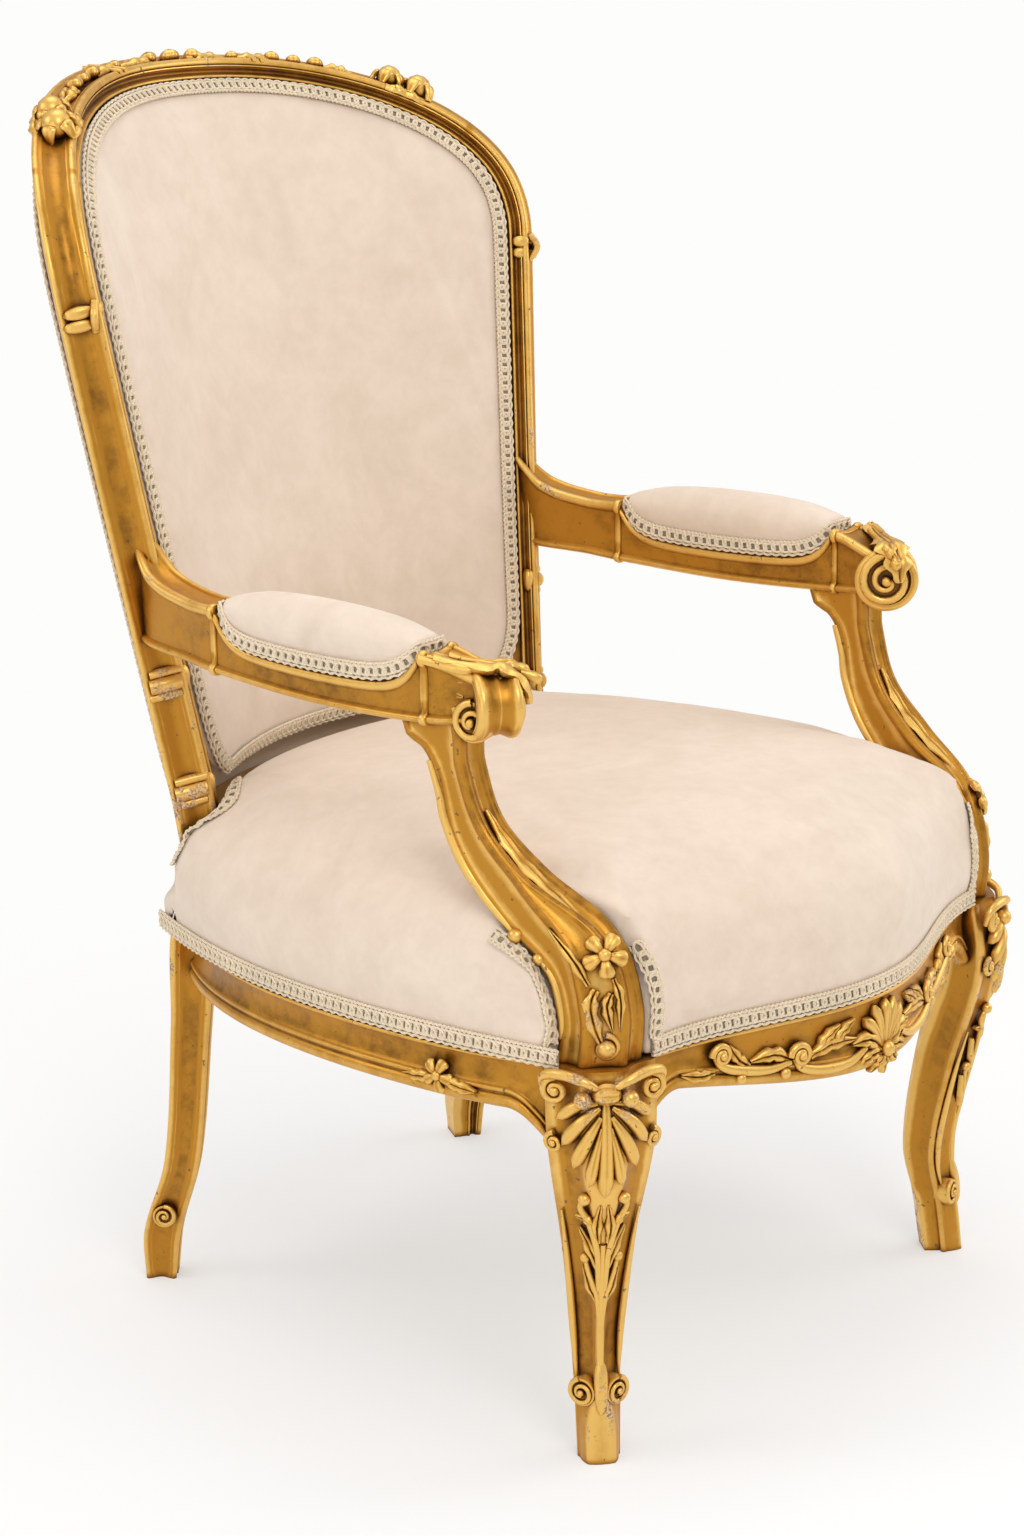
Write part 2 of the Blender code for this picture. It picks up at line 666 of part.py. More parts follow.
def arm_path():
    """Rows of y, x, underside, top and width from the upright to the scroll."""
    spot, out, rear = flank_station((ARM_BOTTOM + ARM_TOP) / 2 + 0.02)
    root = spot - out * FRAME_WIDTH * 0.30 + rear * FRAME_DEPTH * 0.5
    middle = (PAD_REAR_Y + PAD_FRONT_Y) / 2
    rows = [(-root.y, root.x, ARM_BOTTOM + 0.012, ARM_TOP + 0.034, FRAME_WIDTH * 0.7),
            (-root.y + 0.026, root.x + 0.006, ARM_BOTTOM + 0.009, ARM_TOP + 0.012, FRAME_WIDTH),
            (-PAD_REAR_Y - 0.040, ARM_X - ARM_SWEEP - 0.005, ARM_BOTTOM + 0.007, ARM_TOP + 0.001, ARM_WIDTH * 0.86),
            (-PAD_REAR_Y - 0.004, ARM_X - ARM_SWEEP, ARM_BOTTOM + 0.004, ARM_TOP, ARM_WIDTH * 0.94),
            (-middle, ARM_X - ARM_SWEEP * 0.35, ARM_BOTTOM - 0.001, ARM_TOP - 0.002, ARM_WIDTH),
            (-PAD_FRONT_Y + 0.004, ARM_X, ARM_BOTTOM + 0.002, ARM_TOP - 0.002, ARM_WIDTH),
            (-SCROLL_Y, SCROLL_X, SCROLL_Z - SCROLL_RADIUS * 0.5, SCROLL_Z + SCROLL_RADIUS * 0.86, ARM_WIDTH * 0.88)]
    return smooth(rows, 3)


def arm_at(y):
    rows = arm_path()
    for low, high in zip(rows, rows[1:]):
        if low[0] <= -y <= high[0]:
            t = (-y - low[0]) / (high[0] - low[0])
            return [a + (b - a) * t for a, b in zip(low, high)]
    return rows[-1] if -y > rows[-1][0] else rows[0]


def arm_section(width, low, high):
    """Arm with a rolled upper edge, a hollow side and a fillet along the bottom."""
    half = width / 2
    tall = high - low
    side = [(half - 0.006, low), (half - 0.001, low + 0.005), (half - 0.0035, low + 0.010),
            (half - 0.0035, high - 0.30 * tall), (half, high - 0.20 * tall), (half - 0.006, high)]
    return side + [(-u, z) for u, z in reversed(side)]


def arm_ring(row, extra=0.0, low=None, high=None):
    y, x, under, top, width = row
    after = arm_at(-y - 0.004)
    before = arm_at(-y + 0.004)
    run = Vector((after[1] - before[1], before[0] - after[0], 0.0)).normalized()
    across = Vector((-run.y, run.x, 0.0))
    section = grow(arm_section(width, under if low is None else low, top if high is None else high), extra)
    return [Vector((x, -y, 0.0)) + across * u + Vector((0, 0, z)) for u, z in section]


def arm_rings(extra=0.0):
    return [arm_ring(row, extra) for row in arm_path()]


def pad_floor(y):
    """Height of the sunk seat for the pad: a boat that climbs at its ends, straight between stations."""
    middle = (PAD_REAR_Y + PAD_FRONT_Y) / 2
    share = min(max((y - middle) / ((PAD_REAR_Y - PAD_FRONT_Y) / 2), -1.0), 1.0)
    heights = [PAD_SEAT_Z + PAD_DIP * s * s + PAD_RISE * abs(s) ** 8 for s in PAD_STATIONS]
    for i in range(len(heights) - 1):
        start, end = PAD_STATIONS[i], PAD_STATIONS[i + 1]
        if share <= end:
            return heights[i] + (heights[i + 1] - heights[i]) * (share - start) / (end - start)
    return heights[-1]


def scroll_profile(extra=0.0):
    """Half section of the scroll, with a sunk ring in each face; a grown one is plain."""
    half = SCROLL_WIDTH / 2 + extra
    radius = SCROLL_RADIUS + extra
    if extra:
        return [(0.0, -half), (radius, -half), (radius, half), (0.0, half)]
    face = [(0.0, half), (radius * 0.30, half), (radius * 0.40, half - 0.004), (radius * 0.62, half - 0.004),
            (radius * 0.70, half), (radius, half - 0.003)]
    return [(r, -w) for r, w in face] + [(r, w) for r, w in reversed(face)]


def support_rows():
    foot = RAIL_TOP + FIT
    foot_x, foot_y = leg_centre(HEAD_SET)
    rise = SUPPORT_BEND_Z - foot
    climb = ARM_BOTTOM - SUPPORT_BEND_Z
    bend_y = (SUPPORT_TOP_Y + foot_y) / 2 + 0.004
    bend_x = (SUPPORT_TOP_X + foot_x) / 2
    return [(foot, foot_y, foot_x, SUPPORT_FOOT_DEPTH, SUPPORT_FOOT_WIDTH),
            (foot + rise * 0.34, foot_y - 0.002, foot_x, SUPPORT_FOOT_DEPTH, SUPPORT_FOOT_WIDTH),
            (foot + rise * 0.70, foot_y + 0.015, foot_x + 0.002, SUPPORT_FOOT_DEPTH, SUPPORT_FOOT_WIDTH * 0.92),
            (SUPPORT_BEND_Z, bend_y, bend_x, SUPPORT_BEND_DEPTH, SUPPORT_BEND_WIDTH),
            (SUPPORT_BEND_Z + climb * 0.33, SUPPORT_TOP_Y - 0.018, SUPPORT_TOP_X - 0.003,
             (SUPPORT_TOP_DEPTH + SUPPORT_BEND_DEPTH) / 2, SUPPORT_TOP_WIDTH),
            (SUPPORT_BEND_Z + climb * 0.70, SUPPORT_TOP_Y - 0.001, SUPPORT_TOP_X, SUPPORT_TOP_DEPTH, SUPPORT_TOP_WIDTH),
            (ARM_BOTTOM + 0.010, SUPPORT_TOP_Y, SUPPORT_TOP_X, SUPPORT_TOP_DEPTH, SUPPORT_TOP_WIDTH)]


def support_rings(extra=0.0):
    """Sections square to the curve; v runs forward, u runs outward."""
    rows = smooth(support_rows(), 3)
    last = len(rows) - 1
    rings = []
    for i, (z, y, x, depth, width) in enumerate(rows):
        low, high = rows[max(i - 1, 0)], rows[min(i + 1, last)]
        run = Vector((0.0, high[1] - low[1], high[0] - low[0])).normalized()
        if i in (0, last):
            run = Vector((0.0, 0.0, 1.0))
        front = Vector((0.0, -run.z, run.y))
        u, v = width / 2, depth / 2
        section = [(u - 0.002, -v), (u, -v + 0.004), (u - 0.002, -v + 0.009), (u - 0.002, v - 0.011),
                   (u, v - 0.007), (u - 0.004, v - 0.001), (u * 0.55, v), (u * 0.3, v - 0.003)]
        section += [(-a, b) for a, b in reversed(section)]
        rings.append([Vector((x, y, z)) + Vector((1, 0, 0)) * a + front * b for a, b in grow(section, extra)])
    if extra:
        rings[0] = [p - Vector((0, 0, 2 * extra)) for p in rings[0]]
    return rings


def build_arms(uprights, upright_cutters, legs):
    supports = {}
    for side, word in ((-1, "left"), (1, "right")):
        arm = place("arm_" + word, loft(mirror(arm_rings(), side)), GILT)
        eye = (side * SCROLL_X, SCROLL_Y, SCROLL_Z)
        axle = (math.cos(ARM_TURN), side * math.sin(ARM_TURN), 0.0)
        roll = place("scroll_" + word, disc(eye, axle, scroll_profile(), 18), GILT, cutter=True)
        combine(arm, roll, "UNION")
        middle, half = (PAD_REAR_Y + PAD_FRONT_Y) / 2, (PAD_REAR_Y - PAD_FRONT_Y) / 2
        rows = [arm_at(middle + half * share) for share in reversed(PAD_STATIONS)]
        rings = []
        for row in rows:
            wide = list(row)
            wide[4] = ARM_WIDTH * 1.5
            rings.append(arm_ring(wide, 0.0, pad_floor(-row[0]), PAD_TOP + 0.02))
        seat = place("cut_pad_seat_" + word, loft(mirror(rings, side)), GILT, cutter=True)
        cut(arm, upright_cutters[side], seat)
        support = place("arm_support_" + word, loft(mirror(support_rings(), side)), GILT)
        body = place("cut_arm_" + word, loft(mirror(arm_rings(FIT), side)), GILT, cutter=True)
        wheel = place("cut_scroll_" + word, disc(eye, axle, scroll_profile(FIT), 18), GILT, cutter=True)
        cut(support, body, wheel)
        rear_spot, out, rear = flank_station((ARM_BOTTOM + ARM_TOP) / 2 + 0.012)
        root = rear_spot + rear * FRAME_DEPTH * 0.45
        root.x, out.x = side * root.x, side * out.x
        tenon("arm_" + word, arm, uprights[side], root, (-out.x, -out.y, 0.0), (0, 0, 1),
              (ARM_TOP - ARM_BOTTOM) * 0.5)
        foot_x, foot_y = leg_centre(HEAD_SET)
        tenon("support_foot_" + word, support, legs[side], (side * foot_x, foot_y, RAIL_TOP),
              (0, 0, 1), (1, 0, 0), SUPPORT_FOOT_WIDTH * 0.35, reach=TENON_LENGTH * 0.6)
        tenon("support_head_" + word, support, arm, (side * (SUPPORT_TOP_X - 0.001), SUPPORT_TOP_Y + 0.005, ARM_BOTTOM + 0.002),
              (0, 0, 1), (1, 0, 0), SUPPORT_TOP_WIDTH * 0.4)
        grown = place("cut_support_" + word, loft(mirror(support_rings(SEAT_CLEAR), side)), GILT, cutter=True)
        supports[side] = grown
    return supports


# Upholstery: shells and stuffings made of rings drawn in from an outline

def drawn(outline, centre, inset, scale):
    points = grow(outline, -inset)
    return [(centre[0] + (x - centre[0]) * scale, centre[1] + (y - centre[1]) * scale) for x, y in points]


def drawn_to(outline, centre, inset, scale):
    """Move each point straight towards the centre, so that the order round it never breaks."""
    points = []
    for x, y in outline:
        arm = Vector((x - centre[0], y - centre[1]))
        arm *= scale * (1 - inset / arm.length)
        points.append((centre[0] + arm.x, centre[1] + arm.y))
    return points


# Seat

def seat_segments():
    """Plan points of the four edges of the seat, in order round it."""
    leg_x, leg_y = leg_centre(HEAD_SET)
    post_x, post_y = post_centre()
    front = [(x, front_line(x)) for x in span(-leg_x, leg_x, 10)]
    right = [(side_line(y), y) for y in span(leg_y + 0.012, post_y + 0.030, 8)]
    rear = [(x, rear_line(x)) for x in span(post_x - 0.004, -post_x + 0.004, 6)]
    left = [(-x, y) for x, y in reversed(right)]
    return front, right, rear, left


def seat_outline():
    return [point for segment in seat_segments() for point in segment]


SEAT_MIDDLE = (0.0, -0.070)


def seat_lift(x, y, height):
    """Height 0 is the rail, 1 the soft edge, 2 the crown."""
    low = RAIL_TOP + FIT
    if height > 1.0:
        z = SEAT_EDGE_Z + (SEAT_CROWN_Z - SEAT_EDGE_Z) * (height - 1.0)
    else:
        z = low + (SEAT_EDGE_Z - low) * height
    return Vector((x, y, z))


def seat_rear(extra=0.0):
    """The space of the back between the uprights, which the rear of the seat stays clear of."""
    post_x, post_y = post_centre()
    wide, inner = post_x + FRAME_WIDTH * 0.30 + extra, post_x - FRAME_WIDTH * 0.35
    clear = SEAT_REAR_CLEAR + extra
    low, high = LOWER_RAIL_Z - SEAT_UNDER - extra, SEAT_CROWN_Z + 0.02
    bend = LOWER_RAIL_Z + FRAME_WIDTH
    far = REAR_FACE + FRAME_DEPTH
    rings = []
    for x in [-wide] + span(-inner, inner, 10) + [wide]:
        at = min(abs(x), inner)
        line = [(back_point(at, low).y - clear, low), (far, low), (far, high),
                (back_point(at, high).y - clear - BACK_CROWN * 0.7, high), (back_point(at, bend).y - clear, bend)]
        rings.append([Vector((x, y, z)) for y, z in line])
    return loft(rings)


def seat_plan():
    gimp = (GIMP_WIDTH + 0.002) / (SEAT_EDGE_Z - RAIL_TOP)
    return [(0.0, 1.0, 0.0), (0.0, 1.0, gimp), (-SEAT_BULGE, 1.0, gimp + 0.16), (-SEAT_BULGE * 1.4, 1.0, 0.68),
            (0.005, 1.0, 1.00), (0.025, 1.0, 1.36), (0.027, 0.86, 1.68), (0.027, 0.50, 1.93), (0.0, 0.0, 2.0)]


def seat_rings(outline, depth, sink=0.0):
    """Rings of the solid that lies a set depth under the outer face of the cover."""
    foot = grow(outline, -RAIL_STEP - depth)
    rings = []
    for inset, scale, height in seat_plan():
        drop = depth * min(height * 2, 1.0)
        points = drawn_to(foot, SEAT_MIDDLE, inset, scale) if scale else [SEAT_MIDDLE]
        rings.append([seat_lift(x, y, height) - Vector((0, 0, drop)) for x, y in points])
    if sink:
        rings[0] = [p - Vector((0, 0, sink)) for p in rings[0]]
    return rings


def corner_reliefs():
    """Blocks that keep the seat and its braid off the outer corner of each arm support, and off the posts."""
    reliefs = {}
    posts = {}
    for side, word in ((-1, "left"), (1, "right")):
        x, y = leg_centre(HEAD_SET + SUPPORT_FOOT_DEPTH)
        inner_x, inner_y = leg_centre(HEAD_SET)
        along = (side * (x - inner_x), y - inner_y, 0.0)
        reliefs[side] = place("cut_corner_" + word,
                              box((side * x, y, SEAT_EDGE_Z), along, (0, 0, 1), 2 * SUPPORT_FOOT_DEPTH,
                                  SUPPORT_FOOT_WIDTH, 2 * (SEAT_EDGE_Z - RAIL_BOTTOM)), GILT, cutter=True)
        posts[side] = place("cut_post_" + word, loft(mirror(upright_rings(SEAT_CLEAR), side)), GILT, cutter=True)
    return reliefs, posts


def build_seat(support_cutters, post_cutters, reliefs):
    outline = seat_outline()
    cover = place("seat_cover", loft(seat_rings(outline, 0.0)), VELVET)
    hollow = place("cut_seat_cover", loft(seat_rings(outline, COVER, sink=0.005)), VELVET, cutter=True)
    stuffing = place("seat_stuffing", loft(seat_rings(outline, COVER + 2 * FIT)), HAIR)
    count = 20
    rim = []
    for i in range(count):
        c, s = math.cos(math.tau * i / count), math.sin(math.tau * i / count)
        rim.append((WELL_X * math.copysign(abs(c) ** 0.5, c), WELL_MIDDLE_Y + WELL_Y * math.copysign(abs(s) ** 0.5, s)))
    well = place("cut_well", loft([[Vector((x, y, z)) for x, y in rim] for z in (RAIL_BOTTOM, WELL_TOP_Z)]),
                 HAIR, cutter=True)
    cut(stuffing, well)
    top = WELL_TOP_Z - FIT
    inset = grow(rim, -FIT)
    place("spring_canvas", loft([[Vector((x, y, z)) for x, y in inset] for z in (top - CANVAS, top)]), LINEN)
    for piece in (cover, stuffing):
        for side in (-1, 1):
            cut(piece, support_cutters[side], post_cutters[side], reliefs[side])
    for piece, extra in ((cover, 0.0), (hollow, COVER), (stuffing, COVER + 2 * FIT)):
        cut(piece, place("cut_rear_of_" + piece.name, seat_rear(extra), GILT, cutter=True))
    cut(cover, hollow)
    return outline


def gimp_strip(points, low, high, inner, outer):
    """A flat braid standing on a plan curve, from one height to another."""
    rings = []
    last = len(points) - 1
    for i, (x, y) in enumerate(points):
        ax, ay = points[max(i - 1, 0)]
        bx, by = points[min(i + 1, last)]
        outward = Vector((by - ay, ax - bx, 0.0)).normalized()
        rings.append([Vector((x, y, z)) + outward * o for o, z in
                      ((inner, low), (outer, low), (outer, high), (inner, high))])
    return loft(rings)


def build_seat_gimp(support_cutters, post_cutters, reliefs):
    low = RAIL_TOP + FIT
    high = low + GIMP_WIDTH
    inner = FIT - RAIL_STEP
    for word, points in zip(("front", "right", "rear", "left"), seat_segments()):
        strip = place("seat_gimp_" + word, gimp_strip(points, low, high, inner, inner + GIMP_THICK), BRAID)
        for side in (-1, 1):
            cut(strip, support_cutters[side], post_cutters[side], reliefs[side])


# Back upholstery: layers on the hollowed surface, heights measured forward of the frame's front

def back_place(x, z, height):
    return back_point(x, z) - back_normal(x) * height


def back_outline(inset, skip=2):
    """Panel outline at a distance inside the frame's outer edge, with rounded lower corners."""
    half = []
    for angle in [CREST_JOINT * i / 10 for i in range(10)] + ARCH_STEPS:
        spot, out, rear = arch_station(angle)
        half.append(spot - out * inset)
    foot = LOWER_RAIL_Z + inset * math.cos(BACK_RAKE)
    for z in FLANK_STEPS[1:]:
        if z > foot + BACK_CORNER * 1.3:
            spot, out, rear = flank_station(z)
            half.append(spot - out * inset)
    half = half[::skip]
    points = [(p.x, p.z) for p in half]
    last_x, last_z = points[-1]
    rise = last_z - foot
    slant = FLANK_SLOPE * rise
    for turn in (0.35, 0.7, 1.0):
        angle = turn * math.pi / 2
        drawn_in = slant * math.sin(angle) + (BACK_CORNER - slant) * (1 - math.cos(angle))
        points.append((last_x - drawn_in, last_z - rise * math.sin(angle)))
    side_x = points[-1][0]
    points += [(side_x * share, foot) for share in (0.75, 0.5, 0.25)]
    return points + [(0.0, foot)] + [(-x, z) for x, z in reversed(points[1:])]


def back_middle():
    return (0.0, (CREST_TOP + LOWER_RAIL_Z) / 2)


def back_rings(outline, rows):
    rings = []
    for inset, scale, height in rows:
        points = drawn(outline, back_middle(), inset, scale) if scale else [back_middle()]
        rings.append([back_place(x, z, height) for x, z in points])
    return rings


def back_plate(inset, low, high):
    """A sheet across the opening, made of upright strips so that it follows the hollow."""
    outline = back_outline(inset, skip=1)
    right = [point for point in outline[:outline.index((0.0, outline[len(outline) // 2][1])) + 1]]
    xs = [x for x, z in right]
    wide = max(xs)
    peak = xs.index(wide)

    def level(x, run):
        for (ax, az), (bx, bz) in zip(run, run[1:]):
            if min(ax, bx) <= x <= max(ax, bx) and ax != bx:
                return az + (bz - az) * (x - ax) / (bx - ax)
        return run[-1][1]

    rings = []
    for i in range(-12, 13):
        x = wide * 0.985 * math.sin(math.pi / 2 * i / 12)
        top = level(abs(x), right[:peak + 1])
        foot = level(abs(x), right[peak:])
        rings.append([back_place(x, z, h) for z, h in ((foot, low), (top, low), (top, high), (foot, high))])
    return loft(rings)


def build_back():
    edge = FRAME_LIP + 0.0015
    floor = BACK_PLAY - RABBET
    place("back_canvas", back_plate(edge, floor, floor + CANVAS / 2), LINEN)
    outline = back_outline(edge)
    base = floor + CANVAS / 2 + BACK_PLAY
    crown = BACK_CROWN
    band = GIMP_WIDTH * 0.8
    skin = [(0.0, 1.0, base + COVER), (band, 1.0, base + COVER), (band, 0.93, crown * 0.36),
            (band, 0.80, crown * 0.72), (band, 0.50, crown * 0.95), (0.0, 0.0, crown)]
    lining = [(inset, scale - 0.004 * (0.0 < scale < 1.0), height - COVER) for inset, scale, height in skin]
    place("back_cover", loft(back_rings(outline, list(reversed(lining)) + skin)), VELVET)
    top = [(inset, scale - 0.008, height - COVER - 2 * BACK_PLAY) for inset, scale, height in skin[2:-1]]
    top.append((0.0, 0.0, crown - COVER - 2 * BACK_PLAY))
    under = [(0.0, 0.0, base), (band, 0.50, base), (band, 0.80, base), (band, 0.975, base)]
    place("back_stuffing", loft(back_rings(outline, under + top)), HAIR)
    front = base + COVER + BACK_PLAY
    loops = [drawn(outline, back_middle(), inset, 1.0) for inset in (0.0, band * 0.9)]
    rings = [[back_place(*a, front), back_place(*b, front), back_place(*b, front + GIMP_THICK),
              back_place(*a, front + GIMP_THICK)] for a, b in zip(*loops)]
    place("back_gimp", loft(rings, closed=True), BRAID)
    behind = -FRAME_DEPTH - 2 * BACK_PLAY
    outer = FRAME_WIDTH * 0.62
    place("outside_back_cover", back_plate(outer, behind - COVER, behind), VELVET)
    loops = [drawn(back_outline(outer, skip=1), back_middle(), inset, 1.0) for inset in (0.0, band * 0.9)]
    deep = behind - COVER - 1.6 * BACK_PLAY
    rings = [[back_place(*a, deep), back_place(*b, deep), back_place(*b, deep - GIMP_THICK),
              back_place(*a, deep - GIMP_THICK)] for a, b in zip(*loops)]
    place("outside_back_gimp", loft(rings, closed=True), BRAID)


# Arm pads

def pad_stations(depth=0.0):
    """Rows of y, half width and fullness along the pad, rounded at both ends."""
    middle = (PAD_REAR_Y + PAD_FRONT_Y) / 2
    reach = (PAD_REAR_Y - PAD_FRONT_Y) / 2 - GIMP_THICK - 3 * FIT - depth
    half = ARM_WIDTH * 0.48 - depth
    rows = []
    for share in PAD_STATIONS:
        rows.append((middle - reach * share, half * (1 - 0.40 * abs(share) ** 8), 1 - 0.30 * abs(share) ** 6))
    return rows


def pad_outline(extra):
    """Plan loop of the pad's foot, grown sideways by an amount."""
    rows = pad_stations()
    return grow([(y, half) for y, half, full in rows] + [(y, -half) for y, half, full in reversed(rows)], extra)


def pad_place(y, across, lift):
    """Lift 0 is the wood, 1 the crown of the pad."""
    row = arm_at(y)
    after, before = arm_at(y - 0.004), arm_at(y + 0.004)
    run = Vector((after[1] - before[1], before[0] - after[0], 0.0)).normalized()
    side = Vector((-run.y, run.x, 0.0))
    middle = (PAD_REAR_Y + PAD_FRONT_Y) / 2
    share = (y - middle) / ((PAD_REAR_Y - PAD_FRONT_Y) / 2)
    low = pad_floor(y) + FIT
    top = PAD_TOP - PAD_FALL * share * share
    return Vector((row[1], y, low + (top - low) * lift)) + side * across


def pad_rings(depth, sink=0.0):
    tall = PAD_TOP - PAD_SEAT_Z
    bulge = 1 + PAD_BULGE / (ARM_WIDTH / 2)
    side = [(1.0, 0.0), (1.0, 0.28), (bulge, 0.50), (bulge * 0.95, 0.72), (0.72, 0.93), (0.28, 1.0)]
    section = side + [(-across, lift) for across, lift in reversed(side)]
    rings = []
    for y, half, full in pad_stations(depth):
        ring = []
        for across, lift in section:
            height = min(lift, 0.28) + max(lift - 0.28, 0.0) * full - depth / tall * min(lift * 2, 1.0)
            ring.append(pad_place(y, across * half, height) - Vector((0, 0, 0.0 if lift else sink)))
        rings.append(ring)
    return rings


def build_pads():
    for side, word in ((-1, "left"), (1, "right")):
        cover = place("arm_pad_cover_" + word, loft(mirror(pad_rings(0.0), side)), VELVET)
        hollow = place("cut_pad_" + word, loft(mirror(pad_rings(COVER, sink=0.004), side)), VELVET, cutter=True)
        cut(cover, hollow)
        place("arm_pad_stuffing_" + word, loft(mirror(pad_rings(COVER + 2 * FIT), side)), HAIR)
        rings = [[pad_place(*a, 0.0), pad_place(*b, 0.0), pad_place(*b, 0.26), pad_place(*a, 0.26)]
                 for a, b in zip(pad_outline(FIT), pad_outline(FIT + GIMP_THICK))]
        place("arm_gimp_" + word, loft(mirror(rings, side), closed=True), BRAID)


# Webbing and springs

def weave(nodes, t):
    """Ease between heights given at points of the strap."""
    for (at, low), (to, high) in zip(nodes, nodes[1:]):
        if at <= t <= to:
            share = (1 - math.cos(math.pi * (t - at) / (to - at))) / 2
            return low + (high - low) * share
    return nodes[-1][1]


def strap(edges, nodes):
    """A strap between two side edges, each given as (start, end), rising and dipping at its crossings."""
    middle = RAIL_BOTTOM - FIT - STRAP_WAVE - STRAP_THICK / 2
    rings = []
    for t in span(0.0, 1.0, 16):
        lift = Vector((0, 0, middle + STRAP_WAVE * weave(nodes, t)))
        (a, b), (c, d) = [(Vector(start), Vector(end)) for start, end in edges]
        near, far = a.lerp(b, t) + lift, c.lerp(d, t) + lift
        half = Vector((0, 0, STRAP_THICK / 2))
        rings.append([near - half, far - half, far + half, near + half])
    return loft(rings)


def build_webbing():
    tack = RAIL_THICK * 0.68
    half = STRAP_WIDTH / 2
    rows_x = [STRAP_PITCH_X * i for i in (-1, 0, 1)]
    rows_y = [WELL_MIDDLE_Y + STRAP_PITCH_Y * j for j in (-1, 0, 1)]
    for i, x in enumerate(rows_x):
        edges = [((e, front_line(e) + tack, 0), (e, rear_line(e) - tack, 0)) for e in (x - half, x + half)]
        start, end = front_line(x) + tack, rear_line(x) - tack
        nodes = [(0.0, 1.0)] + [((y - start) / (end - start), (-1) ** (i + j)) for j, y in enumerate(rows_y)]
        place("webbing_long_%d" % (i + 1), strap(edges, nodes + [(1.0, 1.0)]), JUTE)
    for j, y in enumerate(rows_y):
        edges = [((-side_line(e) + tack, e, 0), (side_line(e) - tack, e, 0)) for e in (y - half, y + half)]
        reach = side_line(y) - tack
        nodes = [(0.0, 1.0)] + [((x + reach) / (2 * reach), -(-1) ** (i + j)) for i, x in enumerate(rows_x)]
        place("webbing_cross_%d" % (j + 1), strap(edges, nodes + [(1.0, 1.0)]), JUTE)


def build_springs():
    low = RAIL_BOTTOM + SPRING_WIRE
    high = WELL_TOP_Z - CANVAS - 2 * FIT - SPRING_WIRE
    spots = [(0.0, WELL_MIDDLE_Y)]
    spots += [(STRAP_PITCH_X * i, WELL_MIDDLE_Y + STRAP_PITCH_Y * j) for i in (-1, 1) for j in (-1, 1)]
    count = SPRING_TURNS * 8
    path = []
    for k in range(count + 1):
        t = k / count
        ease = t * t * (3 - 2 * t)
        radius = SPRING_WAIST + (SPRING_RADIUS - SPRING_WAIST) * (2 * t - 1) ** 2
        angle = math.tau * SPRING_TURNS * t
        path.append(Vector((radius * math.cos(angle), radius * math.sin(angle), low + (high - low) * ease)))
    least = min((path[a] - path[b]).length for a in range(count) for b in range(a + 5, count + 1))
    print("least gap of a spring to itself: %.2f mm" % ((least - 2 * SPRING_WIRE) * 1000))
    for n, (x, y) in enumerate(spots):
        curve = bpy.data.curves.new("spring_%d" % (n + 1), "CURVE")
        curve.dimensions = "3D"
        curve.bevel_depth = SPRING_WIRE
        curve.bevel_resolution = 1
        curve.use_fill_caps = True
        line = curve.splines.new("POLY")
        line.points.add(count)
        for point, spot in zip(line.points, path):
            point.co = (*spot, 1.0)
        curve.materials.append(material(STEEL))
        made = bpy.data.objects.new("spring_%d" % (n + 1), curve)
        made.location = (x, y, 0.0)
        bpy.context.scene.collection.objects.link(made)


clear_scene()
UPRIGHTS, UPRIGHT_CUTTERS = build_back_frame()
LEGS, LEG_CUTTERS = build_front_legs()
RAILS, RAIL_CUTTERS = build_seat_frame(LEGS, LEG_CUTTERS, UPRIGHTS, UPRIGHT_CUTTERS)
build_corner_blocks(RAIL_CUTTERS, LEG_CUTTERS, UPRIGHT_CUTTERS)
SUPPORT_CUTTERS = build_arms(UPRIGHTS, UPRIGHT_CUTTERS, LEGS)
RELIEFS, POST_CUTTERS = corner_reliefs()
build_seat(SUPPORT_CUTTERS, POST_CUTTERS, RELIEFS)
build_seat_gimp(SUPPORT_CUTTERS, POST_CUTTERS, RELIEFS)
build_back()
build_pads()
build_webbing()
build_springs()
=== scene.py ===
"""Carved, gilded and upholstered look of an armchair, built around its packed solids.

Metres, +Z up. The chair stands on Z = 0 and faces -Y.
"""

import math

import bmesh
import bpy
import numpy as np
from mathutils import Matrix, Vector
from mathutils.bvhtree import BVHTree


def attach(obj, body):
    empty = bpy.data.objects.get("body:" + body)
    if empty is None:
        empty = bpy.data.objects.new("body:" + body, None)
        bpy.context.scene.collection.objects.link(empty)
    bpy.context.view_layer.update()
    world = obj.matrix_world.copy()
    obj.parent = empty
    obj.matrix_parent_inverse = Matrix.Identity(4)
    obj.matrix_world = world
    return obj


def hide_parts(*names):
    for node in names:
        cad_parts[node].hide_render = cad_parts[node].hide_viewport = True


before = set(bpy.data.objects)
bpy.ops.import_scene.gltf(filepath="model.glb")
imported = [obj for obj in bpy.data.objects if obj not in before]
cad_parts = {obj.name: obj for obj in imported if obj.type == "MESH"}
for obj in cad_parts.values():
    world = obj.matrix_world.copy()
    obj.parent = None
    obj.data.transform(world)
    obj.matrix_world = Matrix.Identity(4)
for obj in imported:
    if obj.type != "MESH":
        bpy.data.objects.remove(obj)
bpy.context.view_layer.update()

bl_info = {
    "name": "Giltwood Armchair",
    "version": (1, 0, 0),
    "blender": (4, 5, 0),
    "location": "3D View > Sidebar > Armchair",
    "description": "Carved gilded frame, velvet upholstery and gimp of an armchair",
    "category": "Add Mesh",
}

SIDES = ((-1, "left"), (1, "right"))
UP = Vector((0.0, 0.0, 1.0))

